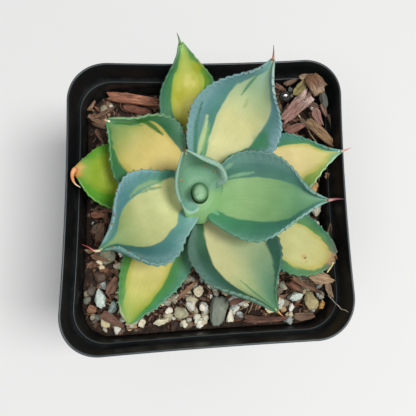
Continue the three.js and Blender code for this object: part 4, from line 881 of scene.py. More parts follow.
def inside(x, y, gap):
    """Point at least gap mm inside the soil's edge (the edge is star-shaped about the middle)."""
    a = np.arctan2(INNER_RIM[:, 1], INNER_RIM[:, 0])
    r = np.hypot(INNER_RIM[:, 0], INNER_RIM[:, 1])
    o = np.argsort(a)
    lim = np.interp(math.atan2(y, x), a[o], r[o], period=2 * math.pi)
    return math.hypot(x, y) < lim - gap


TAKEN = [(p[2], p[3], max(p[4], p[5]) * 0.38) for p in PIECES]


def free(x, y, pad):
    return all(math.hypot(x - a, y - b) > r + pad for a, b, r in TAKEN)


def front(x, y):
    """0 at the back and left, 1 at the front, where the pale grit lies."""
    return float(np.clip((-y - 14) / 14, 0, 1) * np.clip((x + 40) / 20, 0.35, 1))


BARK_TONES = [lin(c) for c in ((104, 78, 62), (90, 68, 54), (74, 56, 46), (124, 98, 80), (60, 46, 38), (102, 84, 66), (108, 74, 58), (52, 41, 34), (136, 114, 90))]
PALE_TONES = [lin(c) for c in ((206, 202, 184), (192, 190, 172), (214, 214, 204), (184, 176, 150), (176, 186, 182), (198, 184, 152))]
GRIT_TONES = [lin(c) for c in ((120, 112, 94), (140, 134, 112), (96, 84, 70), (108, 112, 100), (150, 124, 92), (84, 76, 68))]


def bits():
    bark, pale, grit, fib = Mesh(), Mesh(), Mesh(), Mesh()
    r = np.random.default_rng(77)
    # a bed of small crumbs and chips, then larger chips, then pale pieces on top
    placed = 0
    while placed < 1350:
        x, y = r.uniform(-41, 41, 2)
        L = r.uniform(0.9, 3.8)
        if not inside(x, y, 0.4 + L * 0.42):
            continue
        near = math.hypot(x - AXIS[0], y - AXIS[1])
        if near < 9 or (near < 20 and r.random() < 0.55):
            continue
        placed += 1
        heap = float(soil_z(x, y))
        chip(
            bark, (x, y, heap + r.uniform(-0.5, 0.35)), (L, r.uniform(0.5, 1.3), r.uniform(0.4, 0.9)),
            rot(r.uniform(0, math.tau), r.normal(0, 0.28), r.normal(0, 0.4)),
            BARK_TONES[r.integers(len(BARK_TONES))] * r.uniform(0.6, 1.9), 100 + placed, rows=6, cols=8, ragged=0.3,
        )
    placed = 0
    while placed < 210:
        x, y = r.uniform(-40, 40, 2)
        L = r.uniform(3.0, 8.0)
        f = front(x, y)
        if r.random() < 0.35 * f or not inside(x, y, 0.6 + L * 0.44) or not free(x, y, 0.8):
            continue
        if math.hypot(x - AXIS[0], y - AXIS[1]) < 12:
            continue
        placed += 1
        chip(
            bark, (x, y, float(soil_z(x, y)) + r.uniform(0.0, 0.9)), (L, r.uniform(1.2, 2.6), r.uniform(0.6, 1.2)),
            rot(r.uniform(0, math.tau), r.normal(0, 0.12), r.normal(0, 0.3)),
            BARK_TONES[r.integers(len(BARK_TONES))] * r.uniform(1.0, 1.7), 2000 + placed, rows=12, cols=12,
        )
    # pumice and perlite: many at the front, a few elsewhere
    placed = 0
    while placed < 225:
        x, y = r.uniform(-39, 39, 2)
        f = front(x, y)
        if r.random() > 0.06 + 0.94 * f or not inside(x, y, 1.8) or not free(x, y, 0.7):
            continue
        if math.hypot(x - AXIS[0], y - AXIS[1]) < 12:
            continue
        placed += 1
        d = r.uniform(1.1, 3.3) * (0.75 if f < 0.2 else 1)
        stone(
            pale, (x, y, float(soil_z(x, y)) + r.uniform(0.2, 1.1)), (d * r.uniform(1, 1.45), d * r.uniform(0.8, 1.1), d * r.uniform(0.7, 1.0)),
            rot(r.uniform(0, math.tau), r.normal(0, 0.3), r.normal(0, 0.3)), PALE_TONES[r.integers(len(PALE_TONES))] * r.uniform(0.62, 0.98),
            4000 + placed, level=3, rough=0.5, facet=0.75,
        )
    placed = 0
    while placed < 150:
        x, y = r.uniform(-39, 39, 2)
        f = front(x, y)
        if r.random() > 0.3 + 0.6 * f or not inside(x, y, 1.8) or not free(x, y, 0.6):
            continue
        if math.hypot(x - AXIS[0], y - AXIS[1]) < 12:
            continue
        placed += 1
        d = r.uniform(1.0, 3.0)
        stone(
            grit, (x, y, float(soil_z(x, y)) + r.uniform(-0.1, 0.8)), (d * r.uniform(1, 1.4), d, d * r.uniform(0.6, 0.9)),
            rot(r.uniform(0, math.tau), r.normal(0, 0.3), r.normal(0, 0.3)), GRIT_TONES[r.integers(len(GRIT_TONES))] * r.uniform(0.9, 1.25),
            6000 + placed, level=2, rough=0.18, facet=0.5,
        )
    # loose flakes lying where they can be seen
    for k, (x, y, z, L, W, turn, tilt, bend, rgb) in enumerate((
        (37.39, 26.69, 75.2, 6.4, 3.4, -70, 0.3, 0.2, (132, 102, 92)),
        (33.9, 40.35, 76.8, 4.6, 2.4, 10, 0.1, 0.4, (128, 108, 90)),
        (38.79, 38.51, 77.0, 4.2, 2.6, -50, 0.2, 0.3, (120, 98, 80)),
        (29.07, 39.13, 75.6, 5.4, 1.8, 25, 0.1, 0.3, (104, 84, 70)),
        (25.48, 37.46, 74.6, 4.6, 1.8, -30, 0.2, 0.3, (112, 84, 70)),
        (29.63, 23.57, 74.4, 6.8, 3.2, 20, -0.2, 0.2, (130, 96, 84)),
        (33.04, 24.86, 74.6, 5.8, 1.6, -50, 0.1, 0.2, (92, 76, 62)),
        (35.61, 31.41, 75.6, 5.2, 1.9, -20, 0.3, 0.3, (86, 68, 58)),
        (34.27, 33.95, 76.2, 5.0, 1.8, 60, 0.2, 0.2, (112, 90, 78)),
        (31.87, 19.63, 73.8, 6.2, 1.8, -35, 0.2, 0.2, (118, 92, 76)),
        (39.73, 29.54, 75.0, 4.6, 2.0, -75, 0.1, 0.2, (120, 92, 80)),
        (26.98, 29.74, 74.6, 4.6, 1.8, 70, 0.1, 0.2, (84, 66, 56)),
        (41.71, 26.28, 74.4, 5.0, 1.5, -80, 0.1, 0.2, (76, 62, 52)),
        (34.72, -25.42, 73.4, 8.4, 4.2, -16, 0.15, 0.3, (146, 124, 98)),
        (28.99, -27.05, 72.8, 9.0, 1.5, -34, 0.1, 0.2, (112, 86, 68)),
        (31.77, -28.09, 72.9, 7.6, 1.3, -38, 0.1, 0.2, (88, 66, 54)),
        (37.26, -29.22, 72.6, 4.6, 2.2, -70, 0.1, 0.2, (124, 104, 84)),
        (13.61, -36.82, 72.2, 8.2, 1.6, -10, 0.1, 0.2, (96, 70, 56)),
        (8.89, -31.19, 72.4, 7.4, 1.8, 14, 0.1, 0.2, (110, 78, 66)),
        (-7.06, -27.24, 72.6, 9.4, 1.3, 40, 0.1, 0.3, (132, 100, 78)),
        (-33.67, -8.85, 72.0, 6.4, 3.0, 76, 0.1, 0.2, (104, 82, 66)),
        (-33.71, -16.84, 71.6, 5.0, 1.8, -20, 0.1, 0.2, (110, 84, 66)),
        (-30.09, -25.47, 71.8, 6.6, 3.0, 60, 0.1, 0.2, (108, 80, 66)),
        (-29.85, -35.58, 71.6, 7.6, 3.0, -32, 0.1, 0.2, (104, 78, 66)),
        (-35.0, 27.6, 71.8, 6.2, 1.6, -30, 0.2, 0.3, (116, 90, 72)),
        (-31.78, 30.16, 72.2, 7.2, 1.5, 35, 0.1, 0.3, (98, 76, 62)),
        (-33.73, 21.87, 71.8, 5.6, 1.4, -60, 0.1, 0.3, (110, 84, 66)),
        (-36.26, 32.29, 72.0, 4.6, 1.2, 60, 0.1, 0.3, (126, 100, 80)),
        (41.05, 7.18, 71.6, 4.8, 2.4, -40, 0.1, 0.3, (150, 120, 92)),
        (39.18, -10.76, 71.6, 5.4, 1.8, 75, 0.1, 0.3, (110, 88, 68)),
    )):
        plate(bark, (x, y, z), (L, W, 0.9), rot(math.radians(turn), 0.12 * math.sin(k * 2.1), tilt), lin(rgb), 700 + k, curl=0.25, bend=bend, point=0.4, n=64, rings=9)
    # perlite crumbs seen at exact places
    for x, y, d, t in (
        (-30.6, 34.0, 1.7, (170, 176, 166)), (30.6, 36.4, 1.5, (224, 224, 212)), (37.6, 31.9, 2.2, (222, 222, 208)),
        (35.4, 10.5, 3.2, (186, 150, 110)), (37.6, 13.2, 2.6, (160, 128, 96)), (-34.2, -17.6, 2.4, (206, 196, 166)),
        (-20.6, -32.6, 2.4, (206, 200, 178)), (-13.0, -33.6, 2.6, (210, 206, 190)), (-5.4, -24.0, 2.4, (206, 202, 186)),
        (-2.4, -33.2, 2.4, (214, 210, 194)), (36.49, -7.55, 2.6, (212, 204, 178)), (38.14, 30.71, 2.0, (226, 224, 214)), (-6.6, -30.2, 2.6, (160, 156, 134)), (0.4, -26.4, 2.2, (216, 212, 196)),
    ):
        stone(pale, (x, y, float(soil_z(x, y)) + 1.5), (d, d * 0.85, d * 0.8), rot(x * 7.0, 0.2, 0.1), lin(t), int(abs(x * 91 + y * 17)) + 9000, level=3, rough=0.28, facet=0.6)
    # root fibres and splinters
    placed = 0
    while placed < 420:
        x, y = r.uniform(-38, 38, 2)
        L = r.uniform(3, 13) if r.random() < 0.5 else r.uniform(2, 6)
        if math.hypot(x - AXIS[0], y - AXIS[1]) < 13:
            continue
        a = r.uniform(0, math.tau)
        e = (x + L * math.cos(a), y + L * math.sin(a))
        if not inside(x, y, 1.0) or not inside(e[0], e[1], 1.0):
            continue
        placed += 1
        s = np.linspace(0, 1, 5)
        bend = r.normal(0, 0.22) * L
        px = x + (e[0] - x) * s - math.sin(a) * bend * np.sin(s * math.pi)
        py = y + (e[1] - y) * s + math.cos(a) * bend * np.sin(s * math.pi)
        if not all(inside(px[i], py[i], 0.7) for i in range(5)):
            continue
        pz = soil_z(px, py) + 0.5 + r.uniform(0, 1.3) + 0.5 * np.sin(s * math.pi) * r.random()
        rr = r.uniform(0.08, 0.24)
        tone = lin([(140, 108, 80), (96, 66, 50), (72, 52, 42), (168, 140, 106), (120, 74, 54)][r.integers(5)]) * r.uniform(0.7, 1.0)
        tube(fib, np.c_[px, py, pz], [rr * 0.7, rr, rr, rr * 0.5], tone, cols=6, steps=16, seed=8000 + placed, wob=0.5, grain=True)
    bark.build("bark_litter", MAT_BARK, "bark_wood", sharp=50)
    pale.build("perlite_litter", MAT_PALE, "pumice_pale")
    grit.build("grit_litter", MAT_GRIT, "stone_grit")
    fib.build("root_litter", MAT_BARK, "bark_wood")


bits()


SHIFT = {"bark_strip_back": (0.2, 1.2), "bark_strip_second": (0.2, 1.0), "stone_wedge": (-0.3, -0.9)}


# the heap in the back right corner leans on the wall and stands over the step
# x, y, z, length, width, turn, bend, curl, point, colour of the far end
HEAP = {
    'bark_curl_right': (36.21, 37.62, 77.4, 6.6, 4.6, -62, -0.9, 0.9, 0.1, (150, 128, 108)),
    'leaf_chip': (32.2, 37.3, 76.8, 8.0, 2.9, 50, 0.3, 0.3, 0.4, (132, 120, 92)),
    'bark_red_right': (30.49, 30.72, 75.6, 13.2, 4.0, 43, 0.3, -0.3, -0.25, (166, 148, 142)),
    'bark_shard_right': (38.27, 21.79, 74.4, 12.4, 3.2, -45, 0.2, 0.2, 0.2, None),
    'stone_flat_right': (39.55, 33.86, 75.6, 2.6, 8.0, 12, 0, 0, 0, None),
    'pebble_glossy': (26.64, 34.11, 75.4, 3.7, 4.0, -80, 0, 0, 0, None)}


def named_pieces():
    """The larger bark and stones that have their own CAD nodes, a few objects by kind and side."""
    groups = {}
    for i, (name, kind, x, y, L, W, turn, H, colour, lift) in enumerate(PIECES):
        if kind == "bark":
            key, slot = ("bark_back" if y > 10 and x < 0 else "bark_side" if y > 0 else "bark_front"), "bark_wood"
        elif name.startswith(("pumice", "perlite")):
            key, slot = ("pale_left" if x < -12 else "pale_front"), "pumice_pale"
        elif name == "pebble_glossy":
            key, slot = "pebble_wet", "stone_grit"
        else:
            key, slot = ("stones_left" if x < -12 else "stones_right"), "stone_grit"
        M, nodes, _ = groups.setdefault(key, (Mesh(), [], slot))
        lo, hi = [np.array(c) * 1000 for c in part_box(name)]
        z0, z1 = lo[2], hi[2]
        nodes.append(name)
        R = rot(math.radians(turn))
        tone = hexlin(colour) * (1.1 if kind == "bark" else 1.02)
        if name == "bark_red_right":
            tone = 0.5 * tone + 0.5 * lin((150, 128, 120))
        cz = (z0 + z1) / 2
        h = z1 - z0
        dx, dy = SHIFT.get(name, (0, 0))
        x, y = x + dx, y + dy
        if kind == "bark":
            x, y, cz, L, W, turn, bend, curl, point, far = HEAP.get(name, (x, y, cz, L, W, turn, 0.0, 0.0, 0.25, None))
            R = rot(math.radians(turn), 0.0, 0.0)
            plate(M, (x, y, cz), (L * 1.06, W * 1.12, h), R, tone, 300 + i, curl=curl, bend=bend, point=point, n=150, rings=22, far=None if far is None else lin(far))
        else:
            if name in HEAP:
                x, y, cz, L, W, turn = HEAP[name][:6]
                R = rot(math.radians(turn))
            wedge = name == "stone_wedge"
            stone(M, (x, y, cz), (L, W, h), R, tone, 500 + i, level=4, rough=0.08 if key == "pebble_wet" else 0.26 if slot == "stone_grit" else 0.42, facet=0.2 if key == "pebble_wet" else 0.6 if name.startswith("pebble") else 0.85, tonevar=0.4, taper=0.42 if wedge else 0.0)
    for key, (M, nodes, slot) in groups.items():
        mat = {"bark_wood": MAT_BARK, "pumice_pale": MAT_PALE, "stone_grit": MAT_GRIT}[slot]
        M.build(key, MAT_GLOSS if key == "pebble_wet" else mat, slot, tuple(nodes))


named_pieces()

for nm, (rad, pts, colour) in FIBRES.items():
    M = Mesh()
    rad = min(rad, 0.25) if nm == "twig" else rad * 0.8
    tube(M, pts, [rad, rad * 1.05, rad * 0.9, rad * 0.6], hexlin(colour) * 1.15, cols=12, steps=60, seed=31, wob=0.3, grain=True)
    M.build(nm + "_strand", MAT_BARK, "bark_wood", (nm,))


def make_stem():
    prof = [(0.01, 66.2), (7.2, 66.2), (7.7, 66.8), (7.9, 67.4), (7.6, 68.0), (7.75, 68.5), (7.7, 69), (6.9, 69.5), (6.3, 69.8), (6.0, 70.2), (5.2, 70.6), (4.7, 71), (4.6, 72), (4.5, 73.2), (4.4, 74.4), (3.0, 74.9), (0.01, 75.3)]
    n = 64
    a = np.linspace(0, 2 * math.pi, n, endpoint=False)
    v = []
    for k, (r, z) in enumerate(prof):
        rr = r * (1 + 0.03 * np.sin(5 * a + k) + 0.02 * np.sin(11 * a - k))
        v.append(np.c_[AXIS[0] + rr * np.cos(a), AXIS[1] + rr * np.sin(a), np.full(n, z)])
    f = ring_faces(len(prof), n, True)
    f.append(tuple(range(n))[::-1])
    f.append(tuple((len(prof) - 1) * n + i for i in range(n)))
    M = Mesh()
    vv = np.concatenate(v)
    t = smooth(66, 74, vv[:, 2])[:, None]
    M.add(vv, f, tone=lin((122, 104, 70))[None] * (1 - t) + lin((150, 172, 110))[None] * t)
    M.build("stem_core", MAT_STEM, "stem_tissue", ("stem",))


make_stem()

# ------------------------------------------------------------------ leaves
# inn: colours down the middle. left/right: margin colours, edge and deep. tip colours of the spine.
STYLE = {
    "leaf_upper_right": {
        "seed": 11, "nu": 160, "bloom": 0.95,
        "inn": [(0, (200, 206, 140)), (0.3, (218, 215, 152)), (0.5, (212, 210, 142)), (0.7, (166, 187, 134)), (0.86, (134, 168, 138)), (1, (116, 156, 130))],
        "rim_in": [(0, (190, 200, 135)), (0.5, (196, 204, 146)), (0.8, (156, 182, 140)), (1, (120, 160, 132))],
        "ledge": [(0, (84, 140, 116)), (0.4, (98, 142, 138)), (0.8, (106, 150, 146)), (1, (114, 158, 142))], "pitch": 1.9,
        "ldeep": [(0, (62, 128, 92)), (0.4, (82, 138, 116)), (0.8, (90, 140, 128)), (1, (110, 156, 136))],
        "redge": [(0, (96, 146, 132)), (0.4, (122, 164, 162)), (0.8, (130, 170, 166)), (1, (124, 164, 144))],
        "rdeep": [(0, (66, 130, 92)), (0.3, (60, 124, 82)), (0.5, (78, 136, 106)), (0.7, (104, 148, 146)), (1, (118, 158, 138))],
        "streaks": [([(0.19, -0.68), (0.235, -0.63), (0.32, -0.6), (0.44, -0.64)], 1.5, (190, 208, 140), 0.85),
                    ([(0.1, -0.8), (0.2, -0.8), (0.36, -0.82), (0.5, -0.86)], 1.0, (52, 116, 86), 0.8),
                    ([(0.12, -0.53), (0.25, -0.52), (0.4, -0.53)], 0.9, (112, 168, 104), 0.85),
                    ([(0.67, -0.27), (0.765, -0.35), (0.85, -0.47)], 0.75, (72, 132, 92), 0.85),
                    ([(0.605, -0.02), (0.64, -0.02), (0.68, -0.07)], 0.9, (160, 176, 104), 0.6)],
        "patches": [(0.45, 0.68, 2.6, (56, 128, 72), 0.8)],
        "rims": [(1, 0.72, 1.01, (196, 214, 190), 0.8, 0.5), (-1, 0.3, 0.9, (126, 166, 168), 0.5, 0.5)],
        "spine": [(190, 150, 100), (150, 88, 66), (110, 58, 52), (84, 44, 42)], "spine_r": 0.42,
    },
    "leaf_right": {
        "seed": 12, "nu": 160, "bloom": 0.8,
        "inn": [(0, (146, 186, 128)), (0.25, (150, 182, 126)), (0.5, (132, 168, 112)), (0.72, (106, 153, 110)), (0.88, (118, 162, 128)), (1, (136, 174, 154))],
        "ledge": [(0, (78, 136, 110)), (0.4, (76, 120, 108)), (0.8, (96, 140, 132)), (1, (124, 164, 148))],
        "ldeep": [(0, (70, 132, 96)), (0.4, (71, 116, 100)), (0.8, (80, 130, 108)), (1, (104, 150, 128))],
        "redge": [(0, (86, 150, 106)), (0.4, (78, 132, 106)), (0.7, (94, 144, 130)), (0.88, (118, 160, 148)), (1, (134, 172, 156))],
        "rdeep": [(0, (80, 148, 98)), (0.3, (66, 128, 90)), (0.6, (57, 112, 90)), (0.85, (74, 130, 106)), (1, (106, 152, 130))],
        "streaks": [([(0.14, -0.57), (0.25, -0.5), (0.36, -0.5)], 0.9, (134, 176, 138), 0.8),
                    ([(0.16, -0.84), (0.23, -0.85)], 0.9, (150, 186, 156), 0.7),
                    ([(0.02, 0.92), (0.067, 0.75), (0.126, 0.775)], 0.8, (140, 186, 140), 0.8)],
        "scallop": 0.5, "pitch": 2.1, "lip": 0.04, "rims": [(1, 0.5, 1.0, (166, 196, 182), 0.65, 0.45), (-1, 0.5, 1.0, (130, 168, 160), 0.5, 0.4), (-1, 0.1, 0.3, (150, 186, 160), 0.5, 0.4)],
        "spine": [(170, 140, 130), (132, 74, 78), (104, 58, 68), (90, 50, 62)], "spine_r": 0.5,
        "bare": 0.34,
    },
    "leaf_lower_right": {
        "seed": 13, "nu": 150, "bloom": 0.75,
        "inn": [(0, (205, 200, 135)), (0.3, (206, 200, 134)), (0.5, (198, 195, 128)), (0.7, (168, 182, 118)), (0.88, (126, 164, 112)), (1, (86, 138, 90))],
        "inn_l": [(0, (196, 198, 132)), (0.4, (166, 180, 122)), (0.6, (134, 164, 116)), (0.85, (104, 150, 108)), (1, (86, 138, 90))],
        "lmix": (-0.55, 0.12),
        "ledge": [(0, (72, 118, 106)), (0.5, (84, 122, 120)), (0.85, (92, 138, 126)), (1, (86, 134, 100))],
        "ldeep": [(0, (70, 130, 92)), (0.5, (66, 106, 98)), (0.85, (80, 130, 108)), (1, (86, 134, 96))],
        "redge": [(0, (74, 128, 104)), (0.3, (66, 104, 96)), (0.6, (96, 140, 140)), (1, (96, 142, 110))],
        "rdeep": [(0, (72, 134, 92)), (0.3, (58, 98, 82)), (0.6, (62, 104, 96)), (1, (88, 138, 98))],
        "streaks": [([(0.6, 0.15), (0.72, 0.15), (0.83, 0.125), (0.96, 0.075)], 0.6, (92, 142, 92), 0.75)],
        "scallop": 0.4, "lip": 0.04, "rims": [(1, 0.5, 0.9, (160, 186, 176), 0.65, 0.5), (-1, 0.3, 0.9, (120, 158, 156), 0.45, 0.4)],
        "spine": [(190, 170, 120), (206, 150, 96), (200, 132, 82), (170, 104, 66)], "spine_r": 0.4,
    },
    "leaf_lower_left": {
        "seed": 14, "nu": 150, "bloom": 0.95,
        # near the base the inner zone and margins are painted lighter to offset the shadow the cup casts on this leaf
        "inn": [(0, (228, 236, 168)), (0.2, (220, 226, 162)), (0.36, (200, 206, 144)), (0.46, (196, 202, 140)), (0.58, (172, 187, 124)), (0.7, (150, 174, 112)), (0.85, (130, 166, 108)), (1, (89, 145, 96))],
        "pitch": 2.2, "scallop": 0.6, "ledge": [(0, (150, 190, 168)), (0.17, (146, 184, 164)), (0.36, (112, 154, 142)), (0.6, (96, 138, 128)), (0.85, (80, 130, 110)), (1, (89, 142, 98))],
        "ldeep": [(0, (134, 178, 148)), (0.17, (126, 170, 146)), (0.36, (92, 140, 122)), (0.6, (66, 110, 98)), (0.85, (70, 120, 96)), (1, (89, 142, 96))],
        "redge": [(0, (98, 146, 128)), (0.3, (118, 158, 148)), (0.6, (124, 162, 156)), (0.85, (112, 156, 136)), (1, (96, 148, 108))],
        "rdeep": [(0, (84, 138, 104)), (0.3, (96, 148, 116)), (0.6, (96, 142, 134)), (0.85, (100, 150, 122)), (1, (90, 144, 98))],
        "streaks": [([(0.5, 0.64), (0.41, 0.72), (0.33, 0.78), (0.24, 0.8)], 1.0, (150, 180, 120), 0.8),
                    ([(0.47, 0.62), (0.32, 0.675), (0.24, 0.675)], 0.6, (98, 150, 104), 0.8)],
        "rims": [(1, 0.25, 0.98, (158, 188, 180), 0.7, 0.7), (-1, 0.3, 0.95, (140, 178, 160), 0.55, 0.5)],
        "spine": [(188, 168, 140), (160, 92, 82), (132, 40, 46), (112, 36, 44)], "spine_r": 0.4,
        "tooth1": (110, 34, 40),
    },
    "leaf_upper_left": {
        "seed": 15, "nu": 150, "bloom": 0.6,
        "inn": [(0, (196, 180, 112)), (0.2, (208, 192, 122)), (0.45, (218, 203, 130)), (0.62, (200, 192, 122)), (0.8, (148, 172, 104)), (1, (82, 138, 90))],
        "rim_in": [(0, (190, 176, 90)), (0.3, (206, 184, 96)), (0.6, (184, 182, 100)), (0.8, (136, 168, 104)), (1, (92, 142, 96))],
        "ledge": [(0, (68, 116, 92)), (0.5, (84, 132, 112)), (0.85, (104, 152, 114)), (1, (110, 156, 112))],
        "ldeep": [(0, (60, 112, 74)), (0.5, (72, 126, 90)), (0.85, (92, 146, 100)), (1, (100, 150, 104))],
        "redge": [(0, (72, 122, 88)), (0.3, (102, 142, 124)), (0.6, (112, 148, 132)), (0.85, (110, 150, 116)), (1, (120, 160, 120))],
        "rdeep": [(0, (56, 110, 76)), (0.3, (60, 114, 90)), (0.6, (66, 118, 86)), (0.85, (70, 128, 76)), (1, (100, 150, 104))],
        "streaks": [([(0.78, 0.86), (0.68, 0.68), (0.6, 0.55), (0.51, 0.47)], 1.5, (54, 114, 50), 0.92),
                    ([(0.93, 0.5), (0.8, 0.55), (0.7, 0.5)], 0.9, (110, 152, 92), 0.6)],
        "rims": [(1, 0.5, 1.0, (188, 206, 172), 0.8, 0.6), (-1, 0.6, 1.0, (140, 182, 140), 0.5, 0.5)],
        "spine": [(226, 206, 186), (222, 196, 176), (200, 160, 130), (170, 120, 90)], "spine_r": 0.5,
    },
    "leaf_top": {
        "seed": 16, "nu": 130, "bloom": 0.35,
        "inn": [(0, (170, 172, 90)), (0.3, (182, 186, 88)), (0.5, (188, 192, 104)), (0.7, (176, 186, 92)), (0.85, (164, 184, 104)), (1, (150, 184, 110))],
        "rim_in": [(0, (150, 160, 60)), (0.4, (158, 172, 62)), (0.8, (146, 176, 84)), (1, (140, 178, 100))],
        "ledge": [(0, (86, 134, 108)), (0.4, (70, 120, 88)), (0.8, (54, 106, 62)), (1, (110, 158, 92))],
        "ldeep": [(0, (92, 146, 96)), (0.4, (74, 130, 78)), (0.8, (62, 124, 64)), (1, (120, 166, 92))],
        "redge": [(0, (52, 104, 50)), (0.4, (52, 106, 54)), (0.7, (52, 112, 70)), (1, (88, 142, 66))],
        "rdeep": [(0, (86, 120, 26)), (0.4, (72, 124, 34)), (0.7, (96, 140, 28)), (1, (110, 158, 80))],
        "patches": [(0.8, 0.72, 1.7, (146, 160, 26), 0.85), (0.71, 0.15, 2.0, (212, 212, 156), 0.6), (0.54, 0.2, 1.9, (210, 208, 150), 0.6), (0.5, 0.6, 1.6, (160, 150, 40), 0.6), (0.62, -0.3, 1.8, (160, 168, 44), 0.6), (0.42, 0.0, 1.8, (170, 168, 50), 0.6)],
        "spine": [(112, 150, 84), (96, 140, 80), (70, 90, 56), (74, 54, 40)], "spine_r": 0.55, "tooth": 0.42,
        "scallop": 0.2,
        "bare": 0.3,
    },
    "leaf_right_outer": {
        "seed": 17, "nu": 140, "bloom": 0.45,
        "inn": [(0, (206, 192, 120)), (0.3, (224, 208, 146)), (0.6, (222, 208, 146)), (0.8, (212, 202, 136)), (0.93, (190, 190, 112)), (1, (130, 160, 110))],
        "rim_in": [(0, (196, 180, 84)), (0.5, (208, 194, 110)), (0.85, (180, 184, 92)), (1, (120, 156, 106))],
        "ledge": [(0, (72, 122, 92)), (0.5, (90, 136, 110)), (0.85, (104, 150, 112)), (1, (124, 162, 134))],
        "ldeep": [(0, (84, 130, 84)), (0.5, (78, 128, 86)), (0.85, (110, 156, 86)), (1, (120, 160, 124))],
        "redge": [(0, (44, 96, 54)), (0.5, (54, 108, 66)), (0.8, (180, 180, 72)), (1, (150, 180, 150))],
        "rdeep": [(0, (60, 112, 50)), (0.5, (64, 118, 58)), (0.8, (190, 186, 76)), (1, (130, 164, 120))],
        "rims": [(1, 0.55, 1.0, (196, 214, 160), 0.6, 0.4)],
        "spine": [(168, 196, 176), (196, 150, 130), (190, 110, 100), (214, 128, 116)], "spine_r": 0.5, "tooth": 0.75,
    },
    "leaf_right_lower": {
        "seed": 18, "nu": 130, "bloom": 0.3,
        "inn": [(0, (186, 196, 116)), (0.4, (200, 203, 132)), (0.7, (204, 204, 136)), (0.9, (196, 190, 116)), (1, (150, 118, 76))],
        "rim_in": [(0, (176, 186, 96)), (0.5, (188, 194, 106)), (0.9, (190, 176, 90)), (1, (150, 118, 76))],
        "ledge": [(0, (66, 122, 84)), (0.5, (70, 130, 86)), (0.85, (74, 128, 76)), (1, (120, 110, 74))],
        "ldeep": [(0, (96, 146, 72)), (0.5, (104, 150, 72)), (0.85, (110, 146, 66)), (1, (130, 116, 74))],
        "redge": [(0, (56, 110, 78)), (0.5, (68, 122, 88)), (0.85, (84, 130, 86)), (1, (130, 116, 74))],
        "rdeep": [(0, (72, 124, 66)), (0.5, (84, 140, 80)), (0.85, (120, 150, 80)), (1, (140, 116, 74))],
        "patches": [(0.745, 0.4, 0.85, (206, 172, 112), 0.9), (0.755, 0.45, 0.42, (112, 76, 50), 0.95), (0.765, 0.58, 0.4, (140, 118, 60), 0.7),
                    (0.99, 0.1, 1.1, (140, 104, 72), 0.95), (0.955, 0.6, 0.9, (168, 132, 96), 0.85)],
        "spine": [(150, 112, 80), (130, 92, 66), (112, 76, 56), (100, 66, 48)], "spine_r": 0.7, "tooth": 0.7,
    },
    "leaf_bottom": {
        "seed": 19, "nu": 140, "bloom": 0.4,
        "inn": [(0, (200, 186, 110)), (0.3, (208, 196, 118)), (0.5, (210, 202, 136)), (0.7, (200, 198, 118)), (0.85, (170, 182, 88)), (1, (140, 168, 78))],
        "rim_in": [(0, (190, 176, 80)), (0.5, (186, 184, 84)), (0.8, (160, 178, 76)), (1, (136, 166, 74))],
        "ledge": [(0, (74, 124, 86)), (0.4, (92, 142, 112)), (0.8, (80, 140, 100)), (1, (90, 146, 76))],
        "ldeep": [(0, (64, 118, 60)), (0.4, (72, 130, 66)), (0.8, (76, 140, 60)), (1, (120, 160, 70))],
        "redge": [(0, (70, 120, 84)), (0.4, (72, 126, 80)), (0.8, (74, 132, 78)), (1, (150, 150, 90))],
        "rdeep": [(0, (66, 124, 56)), (0.4, (80, 132, 48)), (0.8, (88, 138, 54)), (1, (136, 162, 76))],
        "rims": [(1, 0.8, 1.0, (214, 190, 150), 0.85, 0.5), (-1, 0.3, 0.8, (120, 166, 140), 0.5, 0.5)],
        "spine": [(140, 168, 78), (130, 150, 80), (120, 130, 70), (110, 110, 60)], "spine_r": 0.3, "tooth": 0.7,
    },
    "leaf_left_outer": {
        "seed": 20, "nu": 130, "bloom": 0.25,
        "inn": [(0, (118, 150, 44)), (0.4, (130, 156, 52)), (0.65, (148, 166, 78)), (0.85, (136, 160, 62)), (1, (130, 150, 70))],
        "rim_in": [(0, (112, 148, 44)), (0.5, (118, 152, 50)), (0.9, (112, 148, 62)), (1, (130, 140, 70))],
        "ledge": [(0, (66, 110, 42)), (0.5, (72, 118, 46)), (0.85, (82, 128, 70)), (1, (120, 130, 70))],
        "ldeep": [(0, (84, 128, 40)), (0.5, (96, 138, 44)), (0.85, (96, 138, 56)), (1, (120, 130, 70))],
        "redge": [(0, (66, 108, 50)), (0.5, (70, 110, 50)), (0.85, (78, 120, 60)), (1, (130, 130, 80))],
        "rdeep": [(0, (88, 126, 46)), (0.5, (90, 130, 44)), (0.85, (104, 140, 56)), (1, (130, 134, 76))],
        "patches": [(0.99, -0.2, 1.8, (186, 132, 88), 0.9), (0.96, 0.4, 1.6, (200, 150, 104), 0.8), (0.7, 0.0, 1.8, (176, 178, 116), 0.45)],
        "rims": [(-1, 0.5, 0.98, (150, 186, 140), 0.5, 0.4)],
        "spine": [(202, 142, 92), (190, 122, 76), (206, 150, 104), (236, 226, 206)], "spine_r": 0.75, "tooth": 0.45,
        "scallop": 0.25,
    },
}
